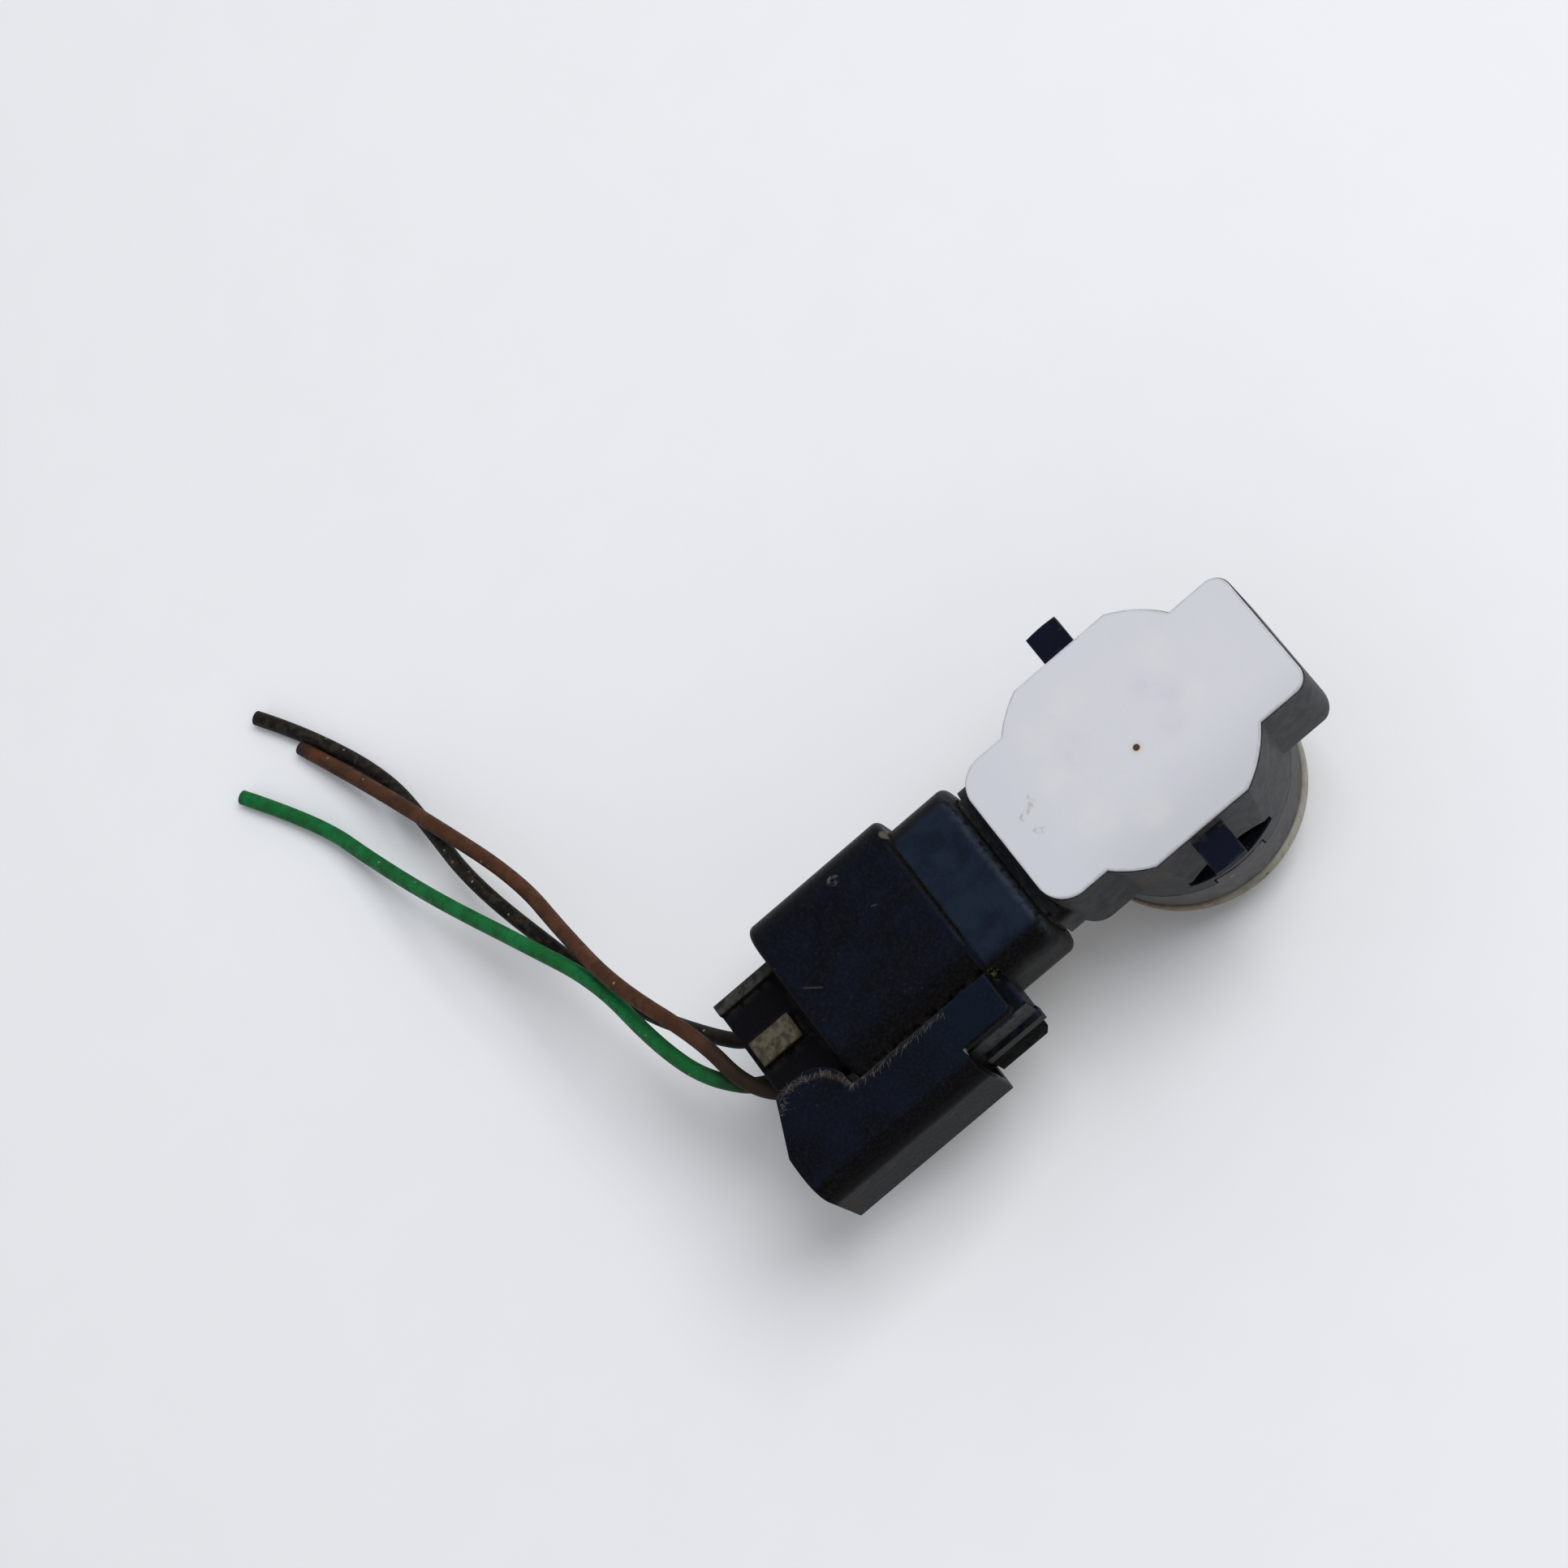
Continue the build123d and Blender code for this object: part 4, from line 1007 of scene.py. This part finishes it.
def insulation_finish(name, shade, pale, dirt_colour, dirt):
    """Rubbery wire insulation: faint clouds, clinging dirt, pale flecks and painted shade towards the plug.
    """
    finish = Finish(name, shade, 0.52, Specular_IOR_Level=0.12)
    finish.paint(finish.patches(3.5, 0.35, 0.65), pale, amount=0.6)
    clinging = finish.patches(1.1, 0.47, 0.62, detail=4.0)
    finish.cover(clinging, dirt_colour, 0.85, dirt)
    # Painted shade: the insulation is painted darker towards the plug, where the hood shades it
    near_plug = finish.along(finish.y, wire_shade_y) * finish.along(finish.x, wire_shade_x)
    finish.cover(near_plug, wire_plug_shade, 0.7, amount=0.85)
    flecks = finish.dots(1.3, 0.14, 0.08) * finish.patches(6.0, 0.45, 0.60)
    finish.cover(flecks, wire_flecks, 0.9, amount=0.8)
    finish.rise(finish.noise(0.5, detail=3.0), 0.02)
    finish.rise(clinging, 0.03)
    return finish


def metal_finish(name, shade, mark, roughness, size):
    """Plated metal: cloudy, finely scratched, and darker where it has tarnished."""
    finish = Finish(name, shade, roughness, Metallic=1.0)
    finish.cover(finish.patches(size * 4, 0.48, 0.66, detail=4.0), mark, roughness + 0.2, amount=0.5)
    scratches = finish.noise(size, stretch=(0.12, 1.0, 1.0))
    finish.rise(scratches, 0.003)
    finish.dull(finish.fade(scratches, 0.45, 0.65), roughness + 0.12)
    return finish


def painted_cup_finish():
    """Brown metallic paint over the aluminium cup, with fine flakes and chipped edges."""
    finish = Finish("cup_paint", cup_brown, 0.36, Metallic=0.35, Coat_Weight=0.35, Coat_Roughness=0.15)
    finish.paint(finish.dots(0.16, 0.42, 0.18), cup_flakes, amount=0.5)
    finish.rise(finish.noise(0.5), 0.004)
    rubbed_edges(finish, 0.25, 0.8, cup_metal)
    finish.cover(finish.dots(2.3, 0.09, 0.05), cup_chips, 0.5, amount=0.9)
    return finish


def board_finish():
    """Green solder mask: tracks show as raised bands, with tinned pads between them."""
    finish = Finish("solder_mask", board_green, 0.30, Specular_IOR_Level=0.5)
    bands = finish.noise(1.2, detail=0.0, stretch=(0.25, 1.0, 1.0))
    tracks = finish.fade(bands, 0.50, 0.53) * finish.patches(4.0, 0.40, 0.42, detail=0.0)
    finish.paint(tracks, track_green)
    finish.rise(tracks, 0.035)
    finish.cover(finish.dots(2.2, 0.16, 0.14), pad_tin, 0.35)
    finish.rise(finish.noise(0.3), 0.004)
    return finish


def winding_finish():
    """Enamelled copper wire: a fine rib for every turn."""
    finish = Finish("enamelled_wire", enamel, 0.28, Metallic=0.9)
    turns = finish.node("ShaderNodeTexWave", {"bands_direction": "Z", "wave_profile": "SIN"}, {
        "Vector": finish.place, "Scale": 1 / (winding_pitch * mm), "Distortion": 0.4})
    ribs = Value(finish, turns.outputs["Fac"])
    finish.paint(ribs, enamel_light, amount=0.6)
    finish.rise(ribs, 0.05)
    finish.dull(ribs, 0.35)
    return finish


def foam_finish():
    """Soft grey foam with open cells."""
    finish = Finish("open_foam", foam_grey, 0.9, Specular_IOR_Level=0.2)
    walls = finish.fade(finish.cells(0.45), 0.15, 0.50)
    finish.paint(1 - walls, foam_pores)
    finish.rise(walls, 0.12)
    finish.dull(walls, 0.8)
    return finish


def stone_finish(name, shade, dark, roughness, size):
    """A hard, fine-grained body: ferrite, ceramic or chip compound."""
    finish = Finish(name, shade, roughness, Specular_IOR_Level=0.4)
    fine = finish.patches(size, 0.40, 0.62, detail=4.0)
    finish.paint(fine, dark)
    finish.rise(fine, 0.006)
    finish.dull(fine, roughness + 0.15)
    return finish


def chip_finish():
    """Black chip compound with tinned legs beyond its two long sides."""
    finish = stone_finish("chip_compound", chip_black, chip_light, roughness=0.6, size=0.2)
    legs = finish.along(finish.y, low_legs_y) + finish.along(finish.y, high_legs_y)
    finish.cover(legs, leg_tin, 0.3)
    finish.feed(finish.shader.inputs["Metallic"], legs)
    return finish


def ceramic_finish():
    """Tan ceramic blocks with tinned ends."""
    finish = stone_finish("capacitor_ceramic", ceramic_tan, ceramic_brown, roughness=0.5, size=0.25)
    ends = 0.0
    for x, y in capacitor_places:
        for end in (x - capacitor_half_length, x + capacitor_half_length):
            place = (end, y, capacitor_height)
            ends = ends + finish.spot(place, capacitor_end_radius, capacitor_end_rim)
    finish.cover(ends, end_tin, 0.35)
    finish.feed(finish.shader.inputs["Metallic"], ends)
    return finish


def can_finish():
    """The storage capacitor's bare can: drawn aluminium with a pressed neck."""
    finish = metal_finish("drawn_can", can_silver, can_tarnish, roughness=0.3, size=0.25)
    neck = finish.spot(*neck_outer_spot) * (1 - finish.spot(*neck_inner_spot))
    finish.cover(neck, neck_grey, 0.45)
    return finish


def dirt_finish(name, shade, pale):
    """Loose dust and dirt: dull, in two mixed colours."""
    finish = Finish(name, shade, 0.92, Specular_IOR_Level=0.15)
    finish.paint(finish.patches(0.25, 0.35, 0.65, detail=3.0), pale)
    finish.rise(finish.noise(0.08), 0.01)
    return finish


def table_finish():
    """A pale matt table top with the faintest clouds."""
    finish = Finish("table_top", table_colour, 0.6, Specular_IOR_Level=0.2)
    finish.paint(finish.patches(9.0, 0.35, 0.65, detail=3.0), table_clouds, amount=0.5)
    finish.rise(finish.noise(0.4), 0.004)
    return finish


def make_table():
    """A plain pale table."""
    corners = table_reach * np.array([(-1, -1, 0), (1, -1, 0), (1, 1, 0), (-1, 1, 0)])
    table = new_piece("table_top", corners, np.array([(0, 1, 2, 3)]), smooth=False)
    table.data.materials.append(table_finish().done())


def make_light():
    """A room that is dim overhead and pale low down, and one large soft window."""
    world = bpy.data.worlds.new("room")
    bpy.context.scene.world = world
    world.use_nodes = True
    room = NodeTree(world.node_tree)
    direction = room.node("ShaderNodeTexCoord").outputs["Generated"]
    height = room.node("ShaderNodeSeparateXYZ", None, {"Vector": direction}).outputs["Z"]
    sky = room.node("ShaderNodeValToRGB", {"stops": sky_stops}, {"Fac": height})
    room.feed(world.node_tree.nodes["Background"].inputs["Color"], sky.outputs["Color"])
    lamp = bpy.data.lights.new("window", "AREA")
    lamp.shape = "SQUARE"
    lamp.size = window_size
    lamp.energy = window_power
    lamp.color = window_colour
    window = bpy.data.objects.new("window", lamp)
    bpy.context.scene.collection.objects.link(window)
    window.location = window_place
    window.rotation_mode = "QUATERNION"
    window.rotation_quaternion = (-Vector(window_place)).to_track_quat("-Z", "Y")


bpy.context.scene.view_settings.view_transform = "Standard"
make_camera()
wires = make_wires()
fibres = make_fibres()
grains = make_grains()
make_table()
make_light()

finishes = {
    "sensor_housing": housing_finish(),
    "potting": potting_finish(),
    "retaining_ring": ring_finish(),
    "decoupling_ring": decoupling_finish(),
    "transducer_cup": painted_cup_finish(),
    "piezo_disc": metal_finish("silvered_disc", disc_silver, disc_tarnish, roughness=0.4, size=0.2),
    "damping_foam": foam_finish(),
    "cup_seal": silicone_finish("cup_compound", compound_grey, dirt=0.1),
    "transducer_lead": metal_finish("tinned_lead", tin, lead_tarnish, roughness=0.3, size=0.12),
    "circuit_board": board_finish(),
    "transformer_core": stone_finish("ferrite", ferrite_black, chip_light, roughness=0.55, size=0.3),
    "transformer_winding": winding_finish(),
    "driver_chip": chip_finish(),
    "ceramic_capacitors": ceramic_finish(),
    "storage_capacitor": can_finish(),
    "header_pin": metal_finish("tinned_pin", tin, pin_tarnish, roughness=0.25, size=0.1),
    "plug_housing": plug_finish(),
    "latch_lever": lever_finish(),
    "interface_seal": silicone_finish("ring_seal", ring_seal_red, dirt=0.2),
    "wire_seal": silicone_finish("block_seal", block_seal_grey, dirt=0.3),
    "rear_holder": hood_finish(),
    "terminal": metal_finish("tinned_terminal", terminal_tin, terminal_tarnish, roughness=0.32, size=0.15),
}
materials = {name: finish.done() for name, finish in finishes.items()}
for name, node in nodes.items():
    for start, material in materials.items():
        if name.startswith(start):
            for slot in node.material_slots:
                slot.material = material

copper = metal_finish("bare_copper", copper_red, copper_tarnish, roughness=0.35, size=0.08).done()
insulations = {}
for colour, look in insulation_looks.items():
    insulations[colour] = insulation_finish(colour + "_insulation", *look)
for colour, cut_spot in cut_spots.items():
    insulations[colour].cover(insulations[colour].spot(*cut_spot), cut_black, 0.6, amount=0.8)
for colour, (wire, strands) in wires.items():
    wire.data.materials.append(insulations[colour].done())
    strands.data.materials.append(copper)
fibres.data.materials.append(dirt_finish("dust_hair", hair_dark, hair_pale).done())
grains.data.materials.append(dirt_finish("dry_dirt", dirt_dark, dirt_pale).done())
